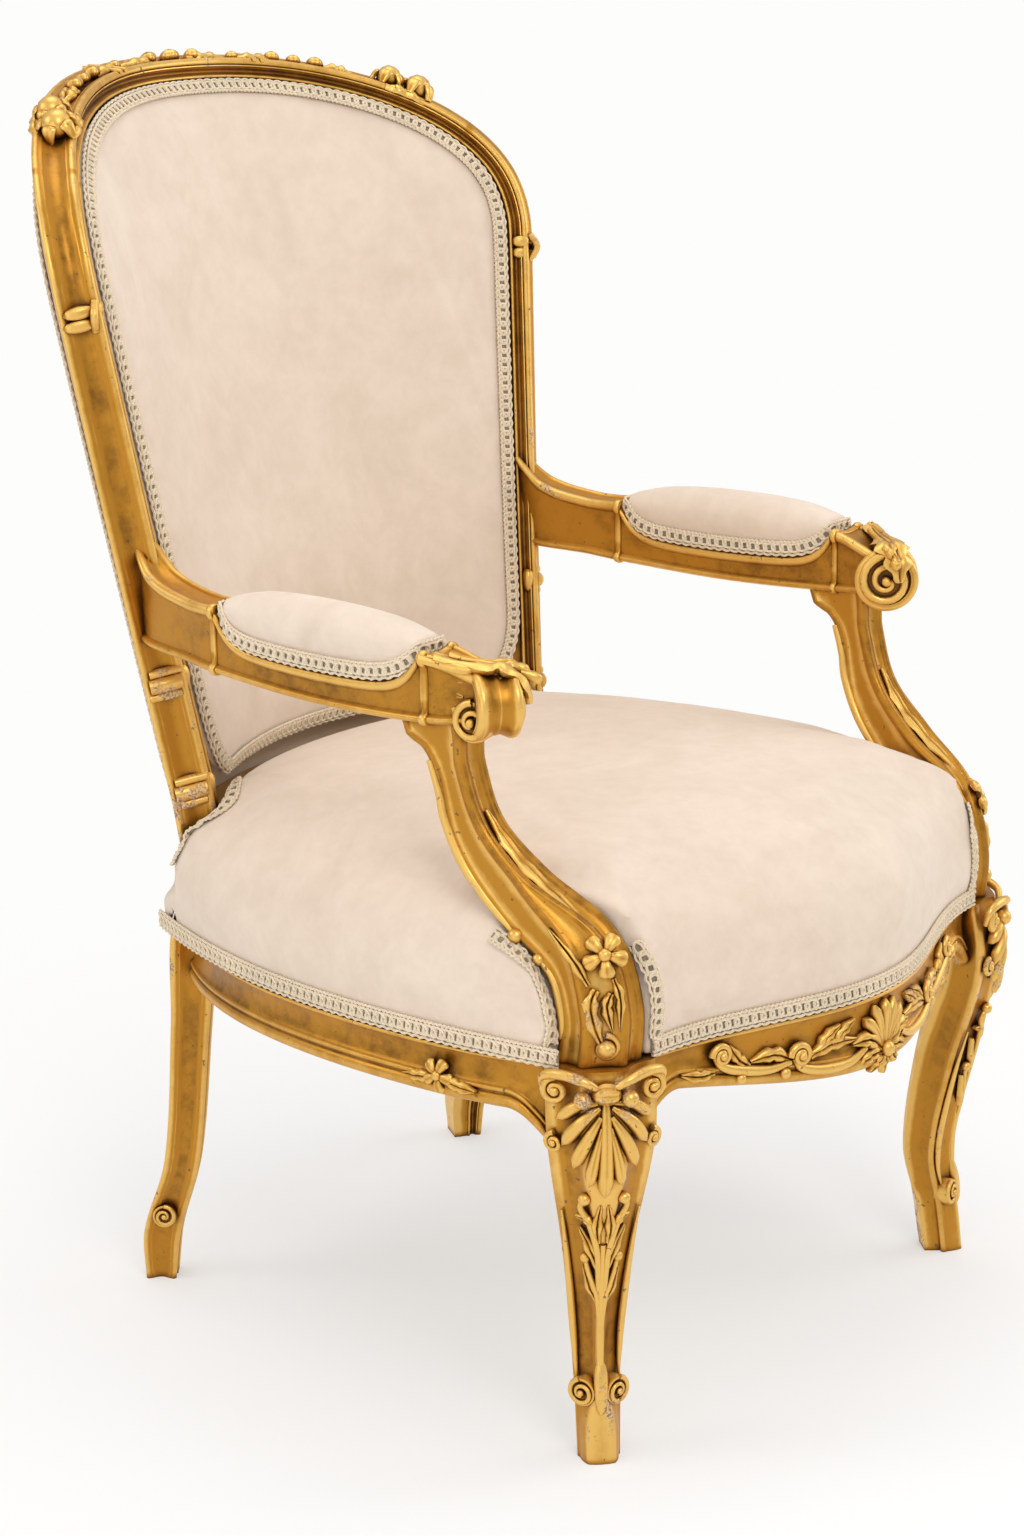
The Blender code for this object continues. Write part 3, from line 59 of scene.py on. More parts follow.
# Back: a raked surface, hollowed in plan, that carries the moulded frame
BACK_Y = 0.2154
BACK_Z = 0.465
BACK_RAKE = math.radians(13.64)
BACK_HOLLOW = 0.1286
CREST_TOP = 1.0456
SHOULDER_X = 0.2805
SHOULDER_Z = 0.8946
SHOULDER_POWER = 2.43
FLANK_SLOPE = 0.1326
FLANK_EASE = 0.010
CREST_JOINT = math.radians(62)
FRAME_WIDTH = 0.034
FRAME_DEPTH = 0.0345
FRAME_LIP = 0.0178
FRAME_CANT = 0.010
RABBET = 0.006
LOWER_RAIL_Z = 0.4075
BACK_CORNER = 0.050
HOLLOW_RATE = BACK_HOLLOW / SHOULDER_X ** 2
CREST_RISE = CREST_TOP - SHOULDER_Z

# Legs
REAR_FOOT = (0.213, 0.224)
REAR_ANKLE = (0.221, 0.185)
REAR_KNEE = (0.2140, 0.176)
POST_SIZE = 0.040
FRONT_FOOT = (0.2576, -0.295)
HEAD_SET = 0.0100
HEAD_WIDE = 0.0430
TOE_SET = -0.006
TOE_WIDE = 0.0182
VOLUTE_Z = 0.060
FRONT_LEG = [
    (0.0, 0.0, 0.0170, 0.0172),
    (0.045, TOE_SET, TOE_WIDE, 0.0185),
    (0.098, -0.0150, 0.0203, 0.0212),
    (0.180, -0.003, 0.0285, 0.0250),
    (0.275, 0.0175, 0.0420, 0.0250),
    (0.335, HEAD_SET, HEAD_WIDE, 0.0265),
]

# Seat frame
RAIL_TOP = 0.335
RAIL_BOTTOM = 0.300
RAIL_THICK = 0.027
RAIL_EDGE = 0.0085
RAIL_STEP = 0.0035
FRONT_FACE = 0.3330
FRONT_BOW = 0.058
FRONT_SPREAD = 0.240
APRON_DROP = 0.027
BRACKET_DROP = 0.026
BRACKET_REACH = 0.036
BRACKET_START = 0.027
SIDE_X = 0.312
SIDE_FULL_Y = -0.150
SIDE_REACH = 0.628
SIDE_POWER = 2.26
SIDE_FRONT_REACH = 0.800
REAR_FACE = 0.238
REAR_SAG = 0.050
REAR_SPREAD = 0.2132
POST = (0.2125, 0.1640)

# Arms and their supports
ARM_BOTTOM = 0.584
ARM_TOP = 0.643
ARM_WIDTH = 0.044
ARM_X = 0.284
ARM_SWEEP = 0.0150
ARM_TURN = math.radians(34)
PAD_REAR_Y = 0.062
PAD_FRONT_Y = -0.160
PAD_SEAT_Z = 0.611
PAD_TOP = 0.662
PAD_FALL = 0.007
PAD_DIP = 0.006
PAD_RISE = 0.022
SCROLL = Vector((0.277, -0.210, 0.604))
SCROLL_RADIUS = 0.0270
SCROLL_WIDTH = 0.040
SUPPORT_TOP = (0.2815, -0.181)
SUPPORT_TOP_SIZE = 0.031
SUPPORT_BEND_Z = 0.457
SUPPORT_BEND_WIDTH = 0.038
SUPPORT_BEND_DEPTH = 0.042
SUPPORT_FOOT_SIZE = 0.048
CORNER_CUT = 0.020
CORNER_CUT_TOP = 0.470
CORNER_CUT_RUN = 0.075

# Upholstery
FIT = 0.0003
COVER = 0.0020
GIMP_WIDTH = 0.0150
GIMP_THICK = 0.0028
NARROW_GIMP = 0.0125
SEAT_EDGE_Z = 0.430
SEAT_CROWN_Z = 0.481
SEAT_REAR_CLEAR = 0.0045
SEAT_UNDER = 0.012
SEAT_BULGE = 0.0045
SEAT_CLEAR = 0.0015
SEAT_MIDDLE = Vector((0.0, -0.070))
BACK_CROWN = 0.020
BACK_PLAY = 0.0009
PAD_BULGE = 0.003
WELL_SIZE = 0.180
WELL_MIDDLE_Y = -0.090
WELL_TOP_Z = 0.408
SEAT_VOXEL = 0.0045
BACK_VOXEL = 0.0042
PAD_VOXEL = 0.0028
CLOTH_FRAMES = 20

# Webbing and springs
STRAP_WIDTH = 0.050
STRAP_THICK = 0.0020
STRAP_WAVE = 0.0020
STRAP_PITCH = (0.100, 0.110)
SPRING_RADIUS = 0.035
SPRING_WAIST = 0.024
SPRING_WIRE = 0.0018
SPRING_TURNS = 3

# Carving: how far a point has to stand out to count as high, and the flat ends that count as plain
RELIEF_ROUNDS = 8
RELIEF_REACH = 0.0008
RELIEF_FLOOR = 0.36
END_SIDES = 12
END_RELIEF = 0.4


def length_field(name, about, value, low, high):
    return bpy.props.FloatProperty(
        name=name, description=about, default=value, min=low, max=high, unit="LENGTH")


def colour_field(name, about, value):
    return bpy.props.FloatVectorProperty(
        name=name, description=about, subtype="COLOR", size=3, min=0.0, max=1.0, default=value)


class ChairSizes(bpy.types.PropertyGroup):
    """Sizes of the trim and the upholstery that a user may change."""

    loop_pitch: length_field(
        "Loop pitch", "Distance from one loop of the gimp to the next", 0.0084, 0.004, 0.012)
    cord: length_field("Gimp cord", "Radius of the cord that the gimp is looped from", 0.0012, 0.0005, 0.002)
    swell: length_field("Swell", "Furthest that the filling pushes the velvet out", 0.006, 0.0, 0.02)
    pressure: bpy.props.FloatProperty(
        name="Filling pressure", description="Pressure of the filling under the velvet",
        default=4.0, min=0.0, max=20.0)
    carving: bpy.props.FloatProperty(
        name="Carving relief", description="Height of the carved leaves and flowers over the wood",
        default=1.0, min=0.4, max=1.6)


class ChairColours(bpy.types.PropertyGroup):
    """Colours of the finishes."""

    gold: colour_field("Gold", "Gilding on the flats", (0.53, 0.238, 0.021))
    # burnished gold, used also as painted highlight on the high parts of the carving
    bright: colour_field("Burnished gold", "Gilding rubbed bright on the high parts", (0.83, 0.51, 0.13))
    # patina, used also as painted shade in the hollows and nooks of the carving
    shade: colour_field("Patina", "Dark patina in the hollows", (0.11, 0.040, 0.006))
    gesso: colour_field("Gesso", "Ground laid bare where the gilding has chipped", (0.70, 0.50, 0.28))
    velvet: colour_field("Velvet", "Pile of the covers", (0.80, 0.668, 0.545))
    braid: colour_field("Gimp", "Cord of the gimp", (0.86, 0.715, 0.52))
    floor: colour_field("Floor", "Studio floor", (0.93, 0.925, 0.915))


def sizes():
    return bpy.context.scene.chair_sizes


def colours():
    return bpy.context.scene.chair_colours


# Curves and sections

def span(start, end, steps):
    return [start + (end - start) * i / steps for i in range(steps + 1)]


def smooth(rows, steps):
    """Cubic through rows of equal length, first column as the parameter."""
    result = []
    last = len(rows) - 1
    for i in range(last):
        before, start, end, after = rows[max(i - 1, 0)], rows[i], rows[i + 1], rows[min(i + 2, last)]
        reach = end[0] - start[0]
        for k in range(steps):
            t = k / steps
            row = [start[0] + reach * t]
            for c in range(1, len(start)):
                slope_a = (end[c] - before[c]) / (end[0] - before[0])
                slope_b = (after[c] - start[c]) / (after[0] - start[0])
                row.append((2 * t ** 3 - 3 * t * t + 1) * start[c]
                           + (t ** 3 - 2 * t * t + t) * reach * slope_a
                           + (3 * t * t - 2 * t ** 3) * end[c] + (t ** 3 - t * t) * reach * slope_b)
            result.append(row)
    result.append(list(rows[last]))
    return result


def flow(points, steps):
    """Smooth path of vectors through a few points."""
    return [Vector(row[1:]) for row in smooth([(i, *p) for i, p in enumerate(points)], steps)]


def blend(a, b, t):
    return [(p[0] + (q[0] - p[0]) * t, p[1] + (q[1] - p[1]) * t) for p, q in zip(a, b)]


def arc(centre, radius, start, end, steps):
    return [(centre[0] + radius * math.cos(math.radians(a)), centre[1] + radius * math.sin(math.radians(a)))
            for a in span(start, end, steps)]


def hollow(start, end, sink, steps):
    """Curved run between two points that bows aside by the sink vector."""
    run = []
    for t in span(0.0, 1.0, steps):
        deep = math.sin(math.pi * t)
        run.append((start[0] + (end[0] - start[0]) * t + sink[0] * deep,
                    start[1] + (end[1] - start[1]) * t + sink[1] * deep))
    return run


def grow(section, amount):
    """Offset a closed polygon outward along its mitred corners."""
    if amount == 0.0:
        return list(section)
    area = sum(a[0] * b[1] - b[0] * a[1] for a, b in zip(section, section[1:] + section[:1]))
    turn = 1.0 if area > 0 else -1.0
    result = []
    for i, (x, y) in enumerate(section):
        ax, ay = section[i - 1]
        bx, by = section[(i + 1) % len(section)]
        before = Vector((y - ay, ax - x)).normalized() * turn
        after = Vector((by - y, x - bx)).normalized() * turn
        corner = before + after
        reach = amount * 2.0 / max(corner.length_squared, 0.8)
        result.append((x + corner.x * reach, y + corner.y * reach))
    return result


def mirror(rings, side):
    return [[Vector((p[0] * side, p[1], p[2])) for p in ring] for ring in rings]


# Making pieces

def skin(bm, rows, looped=False):
    """Stretch a grid over rows of points that close on themselves; open ends are filled."""
    rows = list(rows)
    if looped:
        rows.append(rows[0])
    count = len(rows[0])
    tall = len(rows) - 1
    made = bmesh.ops.create_grid(bm, x_segments=count, y_segments=tall, size=1.0)["verts"]
    for vert in made:
        across = round((vert.co.x + 1.0) / 2 * count) % count
        along = round((vert.co.y + 1.0) / 2 * tall)
        vert.co = rows[along][across]
    bmesh.ops.remove_doubles(bm, verts=made, dist=1e-6)
    if not looped:
        rims = {e for v in made if v.is_valid for e in v.link_edges if e.is_boundary}
        if rims:
            bmesh.ops.holes_fill(bm, edges=list(rims), sides=0)


def skinned(rows):
    bm = bmesh.new()
    skin(bm, rows)
    return bm


def frames_along(path, guide=None):
    """Tangent and two square axes at each point, carried along without twisting."""
    result = []
    last = len(path) - 1
    side = None
    for i in range(last + 1):
        run = (path[min(i + 1, last)] - path[max(i - 1, 0)]).normalized()
        if guide is not None:
            side = run.cross(guide[i] if isinstance(guide, list) else guide).normalized()
        elif side is None:
            side = run.orthogonal().normalized()
        else:
            side = (side - run * side.dot(run)).normalized()
        result.append((run, side, side.cross(run)))
    return result


def tube(bm, path, radii, sides=8):
    """Round bar along a path, with one radius or one for each point."""
    if not isinstance(radii, list):
        radii = [radii] * len(path)
    rings = []
    for point, radius, (_, side, over) in zip(path, radii, frames_along(path)):
        rings.append([point + (side * math.cos(math.tau * k / sides)
                               + over * math.sin(math.tau * k / sides)) * radius for k in range(sides)])
    skin(bm, rings)


def settle(name, bm, looks, slot, stands_for=(), sharp=40.0):
    """Finish a bmesh as a piece of the chair."""
    bmesh.ops.recalc_face_normals(bm, faces=bm.faces)
    mesh = bpy.data.meshes.new(name)
    bm.to_mesh(mesh)
    bm.free()
    return settle_mesh(name, mesh, looks, slot, stands_for, sharp)


def settle_mesh(name, mesh, looks, slot, stands_for=(), sharp=40.0):
    for look in looks if isinstance(looks, (list, tuple)) else [looks]:
        mesh.materials.append(look)
    mesh.shade_smooth()
    if sharp:
        mesh.set_sharp_from_angle(angle=math.radians(sharp))
    piece = bpy.data.objects.new(name, mesh)
    bpy.context.scene.collection.objects.link(piece)
    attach(piece, "root")
    if stands_for:
        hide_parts(*stands_for)
    if slot == "gilded_wood":
        mark_relief(mesh)
    return piece


def mark_relief(mesh):
    """Store how far each point stands out of its surroundings, for the wear and the patina."""
    count = len(mesh.vertices)
    spots = np.empty(count * 3)
    mesh.vertices.foreach_get("co", spots)
    spots = spots.reshape(-1, 3)
    normals = np.empty(count * 3)
    mesh.vertices.foreach_get("normal", normals)
    ends = np.empty(len(mesh.edges) * 2, dtype=np.int64)
    mesh.edges.foreach_get("vertices", ends)
    a, b = ends[0::2], ends[1::2]
    pull = 1.0 / (np.linalg.norm(spots[a] - spots[b], axis=1) + 1e-5)
    degree = np.bincount(a, pull, count) + np.bincount(b, pull, count) + 1e-9
    eased = spots.copy()
    for _ in range(RELIEF_ROUNDS):
        total = np.stack([np.bincount(a, pull * eased[b, c], count)
                          + np.bincount(b, pull * eased[a, c], count) for c in range(3)], axis=1)
        eased = 0.5 * eased + 0.5 * total / degree[:, None]
    height = ((spots - eased) * normals.reshape(-1, 3)).sum(axis=1)
    value = np.clip(0.5 + 0.5 * height / RELIEF_REACH, 0.0, 1.0)
    for face in mesh.polygons:
        if len(face.vertices) > END_SIDES:
            value[list(face.vertices)] = END_RELIEF
    mark = mesh.attributes.new("relief", "FLOAT", "POINT")
    mark.data.foreach_set("value", value.astype(np.float32))


# Finishes

def add(tree, kind, inputs=(), **settings):
    """Add a node, set its fields, and fill its inputs with values or with other nodes' sockets."""
    made = tree.nodes.new(kind)
    for field, value in settings.items():
        setattr(made, field, value)
    for key, value in dict(inputs).items():
        if isinstance(value, bpy.types.NodeSocket):
            tree.links.new(value, made.inputs[key])
        else:
            made.inputs[key].default_value = value
    return made


def finish(name):
    found = bpy.data.materials.new(name)
    found.use_nodes = True
    tree = found.node_tree
    return found, tree, tree.nodes["Principled BSDF"]


def texture(tree, scale, detail=4.0, rough=0.55, stretch=None, twist=0.0):
    """Noise in the chair's own space."""
    spot = add(tree, "ShaderNodeTexCoord").outputs["Object"]
    if stretch:
        spot = add(tree, "ShaderNodeMapping", {"Vector": spot, "Scale": stretch}).outputs["Vector"]
    fields = {"Vector": spot, "Scale": scale, "Detail": detail, "Roughness": rough, "Distortion": twist}
    return add(tree, "ShaderNodeTexNoise", fields).outputs["Fac"]


def sums(tree, operation, a, b):
    return add(tree, "ShaderNodeMath", {0: a, 1: b}, operation=operation).outputs[0]


def ranged(tree, value, low, high, start=0.0, end=1.0):
    fields = {"Value": value, "From Min": low, "From Max": high, "To Min": start, "To Max": end}
    return add(tree, "ShaderNodeMapRange", fields, interpolation_type="SMOOTHSTEP").outputs["Result"]


def mixed(tree, share, a, b):
    node = add(tree, "ShaderNodeMix", data_type="RGBA")
    for index, value in ((0, share), (6, a), (7, b)):
        if isinstance(value, bpy.types.NodeSocket):
            tree.links.new(value, node.inputs[index])
        else:
            node.inputs[index].default_value = value if index == 0 else (*value, 1.0)
    return node.outputs[2]


def bumped(tree, shader, height, depth, strength=1.0):
    bump = add(tree, "ShaderNodeBump", {"Height": height, "Distance": depth, "Strength": strength})
    tree.links.new(bump.outputs["Normal"], shader.inputs["Normal"])


def gilding():
    """Water gilding over gesso: bright on the high parts, dark in the hollows, chipped along the edges."""
    look, tree, shader = finish("gilding")
    palette = colours()
    relief = add(tree, "ShaderNodeAttribute", attribute_name="relief").outputs["Fac"]
    height = sums(tree, "MAXIMUM", relief, RELIEF_FLOOR)
    broad = texture(tree, 9.0, 5.0)
    rub = texture(tree, 75.0, 6.0, 0.65)
    grit = texture(tree, 520.0, 3.0, 0.6)
    # painted shade: ambient occlusion darkens the gilding in corners and crevices, where shade falls
    painted_ao_shade = add(tree, "ShaderNodeAmbientOcclusion", {"Distance": 0.009}, samples=6).outputs["AO"]
    tone = sums(tree, "ADD", sums(tree, "MULTIPLY", height, 0.9), ranged(tree, broad, 0.3, 0.7, -0.02, 0.12))
    tone = sums(tree, "ADD", tone, ranged(tree, rub, 0.3, 0.7, -0.06, 0.06))
    tone = sums(tree, "MULTIPLY", tone, ranged(tree, painted_ao_shade, 0.26, 0.90, 0.10, 1.0))
    # patina with painted shade in the hollows and low parts, burnish with painted highlights on the high
    # parts
    low = mixed(tree, ranged(tree, tone, 0.13, 0.45), tuple(palette.shade), tuple(palette.gold))
    gold = mixed(tree, ranged(tree, tone, 0.55, 0.95), low, tuple(palette.bright))
    edge = ranged(tree, sums(tree, "ADD", relief, ranged(tree, rub, 0.3, 0.75, -0.34, 0.20)), 0.84, 0.94)
    spots = ranged(tree, texture(tree, 170.0, 2.0, 0.5), 0.700, 0.725)
    chips = sums(tree, "MULTIPLY", edge, ranged(tree, broad, 0.57, 0.66))
    laid_bare = mixed(tree, ranged(tree, grit, 0.42, 0.6), tuple(palette.gesso), (0.30, 0.13, 0.04))
    worn = mixed(tree, chips, gold, laid_bare)
    flecked = mixed(tree, sums(tree, "MULTIPLY", spots, 0.7), worn, (0.06, 0.028, 0.010))
    tree.links.new(flecked, shader.inputs["Base Color"])
    bare = sums(tree, "MAXIMUM", chips, spots)
    tree.links.new(ranged(tree, bare, 0.0, 1.0, 0.72, 0.0), shader.inputs["Metallic"])
    dull = sums(tree, "MAXIMUM", bare, rub)
    tree.links.new(ranged(tree, dull, 0.3, 0.9, 0.31, 0.58), shader.inputs["Roughness"])
    uneven = sums(tree, "ADD", sums(tree, "MULTIPLY", rub, 0.8), sums(tree, "MULTIPLY", grit, 0.25))
    bumped(tree, shader, uneven, 0.0006, 0.5)
    return look


def velvet():
    """Short pile that lies in patches, lighter where it leans towards the light."""
    look, tree, shader = finish("cream_velvet_pile")
    pile = tuple(colours().velvet)
    patch = texture(tree, 13.0, 5.0, 0.6, twist=0.7)
    brushed = texture(tree, 60.0, 5.0, 0.65, twist=0.4)
    fibre = texture(tree, 1500.0, 2.0, 0.6)
    # painted sheen: random patches of lighter and darker pile stand in for light catching the crushed nap
    painted_nap_sheen = sums(tree, "ADD", ranged(tree, patch, 0.30, 0.72, 0.0, 0.62),
               ranged(tree, brushed, 0.3, 0.7, 0.0, 0.38))
    dark = tuple(c * k for c, k in zip(pile, (0.89, 0.870, 0.845)))
    light = tuple(min(c * k, 1.0) for c, k in zip(pile, (1.03, 1.035, 1.045)))
    laid = mixed(tree, painted_nap_sheen, dark, light)
    speckled = mixed(tree, ranged(tree, fibre, 0.3, 0.7, 0.0, 0.25), laid, dark)
    tree.links.new(speckled, shader.inputs["Base Color"])
    shader.inputs["Roughness"].default_value = 0.92
    shader.inputs["Specular IOR Level"].default_value = 0.2
    shader.inputs["Sheen Weight"].default_value = 0.35
    shader.inputs["Sheen Roughness"].default_value = 0.45
    shader.inputs["Sheen Tint"].default_value = (1.0, 0.95, 0.88, 1.0)
    bumped(tree, shader, sums(tree, "ADD", fibre, sums(tree, "MULTIPLY", brushed, 1.5)), 0.0006, 0.35)
    return look


def thread(name, colour, shadow, twist_scale):
    """Cotton or jute thread with a fine twist."""
    look, tree, shader = finish(name)
    ply = texture(tree, twist_scale, 3.0, 0.6)
    age = texture(tree, 24.0, 4.0)
    tone = sums(tree, "ADD", ranged(tree, ply, 0.3, 0.7, 0.0, 0.7), ranged(tree, age, 0.3, 0.7, 0.0, 0.3))
    tree.links.new(mixed(tree, tone, shadow, colour), shader.inputs["Base Color"])
    shader.inputs["Roughness"].default_value = 0.85
    shader.inputs["Sheen Weight"].default_value = 0.2
    bumped(tree, shader, ply, 0.0004, 0.6)
    return look


def woven(name, colour, shadow, pitch):
    """Plain weave on the chair's own X and Y."""
    look, tree, shader = finish(name)
    spot = add(tree, "ShaderNodeTexCoord").outputs["Object"]
    fields = {"Vector": spot, "Scale": 1.0 / pitch, "Distortion": 0.6, "Detail": 1.0}
    waves = [add(tree, "ShaderNodeTexWave", fields, bands_direction=axis).outputs["Fac"] for axis in "XY"]
    weave = sums(tree, "MAXIMUM", *waves)
    age = texture(tree, 30.0, 4.0)
    tone = sums(tree, "MULTIPLY", ranged(tree, weave, 0.2, 1.0, 0.3, 1.0),
                ranged(tree, age, 0.3, 0.7, 0.75, 1.0))
    tree.links.new(mixed(tree, tone, shadow, colour), shader.inputs["Base Color"])
    shader.inputs["Roughness"].default_value = 0.9
    bumped(tree, shader, weave, 0.0006, 0.7)
    return look


def bare_beech():
    look, tree, shader = finish("bare_beech")
    grain = texture(tree, 60.0, 6.0, 0.7, stretch=(1.0, 6.0, 6.0), twist=0.3)
    fleck = texture(tree, 420.0, 2.0, 0.5, stretch=(0.4, 1.0, 1.0))
    tone = sums(tree, "ADD", ranged(tree, grain, 0.3, 0.7, 0.0, 0.75),
                ranged(tree, fleck, 0.4, 0.7, 0.0, 0.25))
    tree.links.new(mixed(tree, tone, (0.34, 0.20, 0.10), (0.62, 0.44, 0.27)), shader.inputs["Base Color"])
    shader.inputs["Roughness"].default_value = 0.7
    bumped(tree, shader, grain, 0.0005, 0.5)
    return look


def coppered_wire():
    look, tree, shader = finish("coppered_wire")
    tarnish = texture(tree, 120.0, 5.0, 0.6)
    tree.links.new(mixed(tree, ranged(tree, tarnish, 0.35, 0.7), (0.16, 0.09, 0.05), (0.52, 0.30, 0.17)),
                   shader.inputs["Base Color"])
    shader.inputs["Metallic"].default_value = 0.9
    tree.links.new(ranged(tree, tarnish, 0.3, 0.7, 0.55, 0.3), shader.inputs["Roughness"])
    return look


LOOKS = {}


def look_of(name):
    """The finish of that name, made when it is first asked for."""
    if name not in LOOKS:
        cord = tuple(colours().braid)
        # the ground of the gimp is darkened as painted shade, for the holes seen between the loops
        painted_hole_shade, dark = tuple(c * 0.42 for c in cord), tuple(c * 0.22 for c in cord)
        makers = {
            "gilding": gilding, "velvet": velvet, "beech": bare_beech, "wire": coppered_wire,
            "cord": lambda: thread("gimp_cord", cord, tuple(c * 0.74 for c in cord), 900.0),
            "ground": lambda: thread("gimp_ground_painted_shade", painted_hole_shade, dark, 700.0),
            "jute": lambda: woven("jute_weave", (0.50, 0.36, 0.19), (0.16, 0.10, 0.05), 0.0125),
            "linen": lambda: woven("linen_weave", (0.62, 0.52, 0.37), (0.25, 0.19, 0.12), 0.006),
        }
        LOOKS[name] = makers[name]()
    return LOOKS[name]


def gilt_piece(name, bm, stands_for=(), sharp=40.0):
    return settle(name, bm, look_of("gilding"), "gilded_wood", stands_for, sharp)


# Back frame

def back_point(x, z):
    return Vector((x, BACK_Y + (z - BACK_Z) * math.tan(BACK_RAKE) - HOLLOW_RATE * x * x, z))


def back_normal(x):
    return Vector((2 * HOLLOW_RATE * x, 1.0, -math.tan(BACK_RAKE))).normalized()


def back_place(x, z, height):
    return back_point(x, z) - back_normal(x) * height


def flank_x(z):
    drop = SHOULDER_Z - z
    return SHOULDER_X - FLANK_SLOPE * drop * drop / (drop + FLANK_EASE)


def arch(angle):
    power = 2 / SHOULDER_POWER
    x = math.copysign(SHOULDER_X * abs(math.sin(angle)) ** power, angle)
    return x, SHOULDER_Z + CREST_RISE * max(math.cos(angle), 0.0) ** power


def station(x, z, ahead_x, ahead_z):
    """Place on the outer front edge: point, outward axis and rearward axis."""
    rear = back_normal(x)
    run = back_point(x + ahead_x, z + ahead_z) - back_point(x - ahead_x, z - ahead_z)
    return back_point(x, z), run.cross(rear).normalized(), rear


def arch_station(angle):
    small = 0.002
    ax, az = arch(angle - small)
    bx, bz = arch(angle + small)
    x, z = arch(angle)
    return station(x, z, (bx - ax) / 2, (bz - az) / 2)


def flank_station(z):
    small = 0.002
    return station(flank_x(z), z, (flank_x(z - small) - flank_x(z + small)) / 2, -small)


def frame_section(cant=FRAME_CANT):
    """Bead, cove and roll on the front, a channel between rolls on the outer side, which leans out."""
    lip, back = -FRAME_LIP, FRAME_DEPTH
    section = [(-FRAME_WIDTH, RABBET), (lip, RABBET)]
    section += arc((lip + 0.0015, 0.0015), 0.0015, 180, 360, 5)
    section += hollow((lip + 0.0034, 0.0022), (-0.0076, 0.0022), (0.0, 0.0036), 9)
    section += [(-0.0074, 0.0010), (-0.0064, 0.0010)]
    section += arc((-0.0032, 0.0034), 0.0032, 200, 395, 9)
    section += [(-0.0014, 0.0066), (-0.0014, 0.0078)]
    section += hollow((-0.0020, 0.0086), (-0.0020, back - 0.0086), (-0.0036, 0.0), 9)
    section += [(-0.0014, back - 0.0078), (-0.0014, back - 0.0066)]
    section += arc((-0.0034, back - 0.0034), 0.0034, -35, 90, 6)
    section += [(u, back) for u in span(-0.0060, -FRAME_WIDTH, 5)]
    return [(u + cant * v / back if u > -0.0080 else u, v) for u, v in section]


def leg_section(width, depth):
    """The frame section drawn together for the leg, without its rabbet."""
    section = frame_section(0.0)
    section[0] = (-FRAME_WIDTH, 0.0012)
    section[1] = (-FRAME_WIDTH * 0.8, 0.0006)
    return [((u + FRAME_WIDTH / 2) * width / FRAME_WIDTH, (v - FRAME_DEPTH / 2) * depth / FRAME_DEPTH)
            for u, v in section]


def centred(section):
    return [(u + FRAME_WIDTH / 2, v - FRAME_DEPTH / 2) for u, v in section]


def on_frame(place, section):
    spot, out, rear = place
    return [spot + out * u + rear * v for u, v in section]


def upright_axes():
    turn = math.atan(2 * HOLLOW_RATE * flank_x(LOWER_RAIL_Z))
    return Vector((math.cos(turn), -math.sin(turn), 0.0)), Vector((math.sin(turn), math.cos(turn), 0.0))


def plain_section(section):
    """The four corners round a section, for a tool that cuts a place for it."""
    us, vs = [u for u, v in section], [v for u, v in section]
    return [(min(us), min(vs)), (max(us), min(vs)), (max(us), max(vs)), (min(us), max(vs))]


def upright_rings(extra=0.0, fine=9):
    """Foot to shoulder, on the +X side; with an allowance, a plain form for a cutting tool."""
    shaped = plain_section if extra else list
    leg_out, leg_rear = upright_axes()
    spot, out, rear = flank_station(LOWER_RAIL_Z)
    top = spot - out * FRAME_WIDTH / 2 + rear * FRAME_DEPTH / 2
    rows = [(0.0, *REAR_FOOT, 0.027), (0.046, REAR_FOOT[0], REAR_FOOT[1] - 0.004, 0.033),
            (0.125, *REAR_ANKLE, 0.031), (0.250, *REAR_KNEE, 0.034),
            (RAIL_TOP, (REAR_KNEE[0] + top.x) / 2, (REAR_KNEE[1] + top.y) / 2 + 0.006, POST_SIZE),
            (top.z, top.x, top.y, FRAME_DEPTH)]
    rings = []
    for z, x, y, size in smooth(rows, fine)[:-1]:
        share = min(max((z - RAIL_TOP) / (top.z - RAIL_TOP), 0.0), 1.0)
        ease = share * share * (3 - 2 * share)
        section = blend(leg_section(min(size, FRAME_WIDTH), size), centred(frame_section()), ease)
        section = grow(shaped(section), extra)
        u_axis = leg_out.lerp(out, ease).normalized()
        v_axis = leg_rear.lerp(rear, ease).normalized()
        rings.append([Vector((x, y, z)) + u_axis * u + v_axis * v for u, v in section])
    section = grow(shaped(frame_section()), extra)
    flank = span(LOWER_RAIL_Z, SHOULDER_Z, 9 * fine)[fine:-1]
    rings += [on_frame(flank_station(z), section) for z in flank]
    rings += [on_frame(arch_station(angle), section) for angle in span(math.pi / 2, CREST_JOINT, 2 * fine)]
    return rings


def build_back_frame():
    for side, word in SIDES:
        gilt_piece("stile_" + word, skinned(mirror(upright_rings(), side)), ["rear_upright_" + word])
    section = frame_section()
    rings = [on_frame(arch_station(angle), section) for angle in span(-CREST_JOINT, CREST_JOINT, 120)]
    gilt_piece("crest", skinned(rings), ["crest_rail"])
    reach = flank_x(LOWER_RAIL_Z) - FRAME_WIDTH / 2
    section = frame_section(0.0)
    rings = [on_frame(station(x, LOWER_RAIL_Z, -0.002, 0.0), section) for x in span(-reach, reach, 60)]
    gilt_piece("back_foot_rail", skinned(rings), ["lower_back_rail"])


# Front legs

def leg_centre(set_out):
    shift = set_out / math.sqrt(2)
    return FRONT_FOOT[0] + shift, FRONT_FOOT[1] - shift


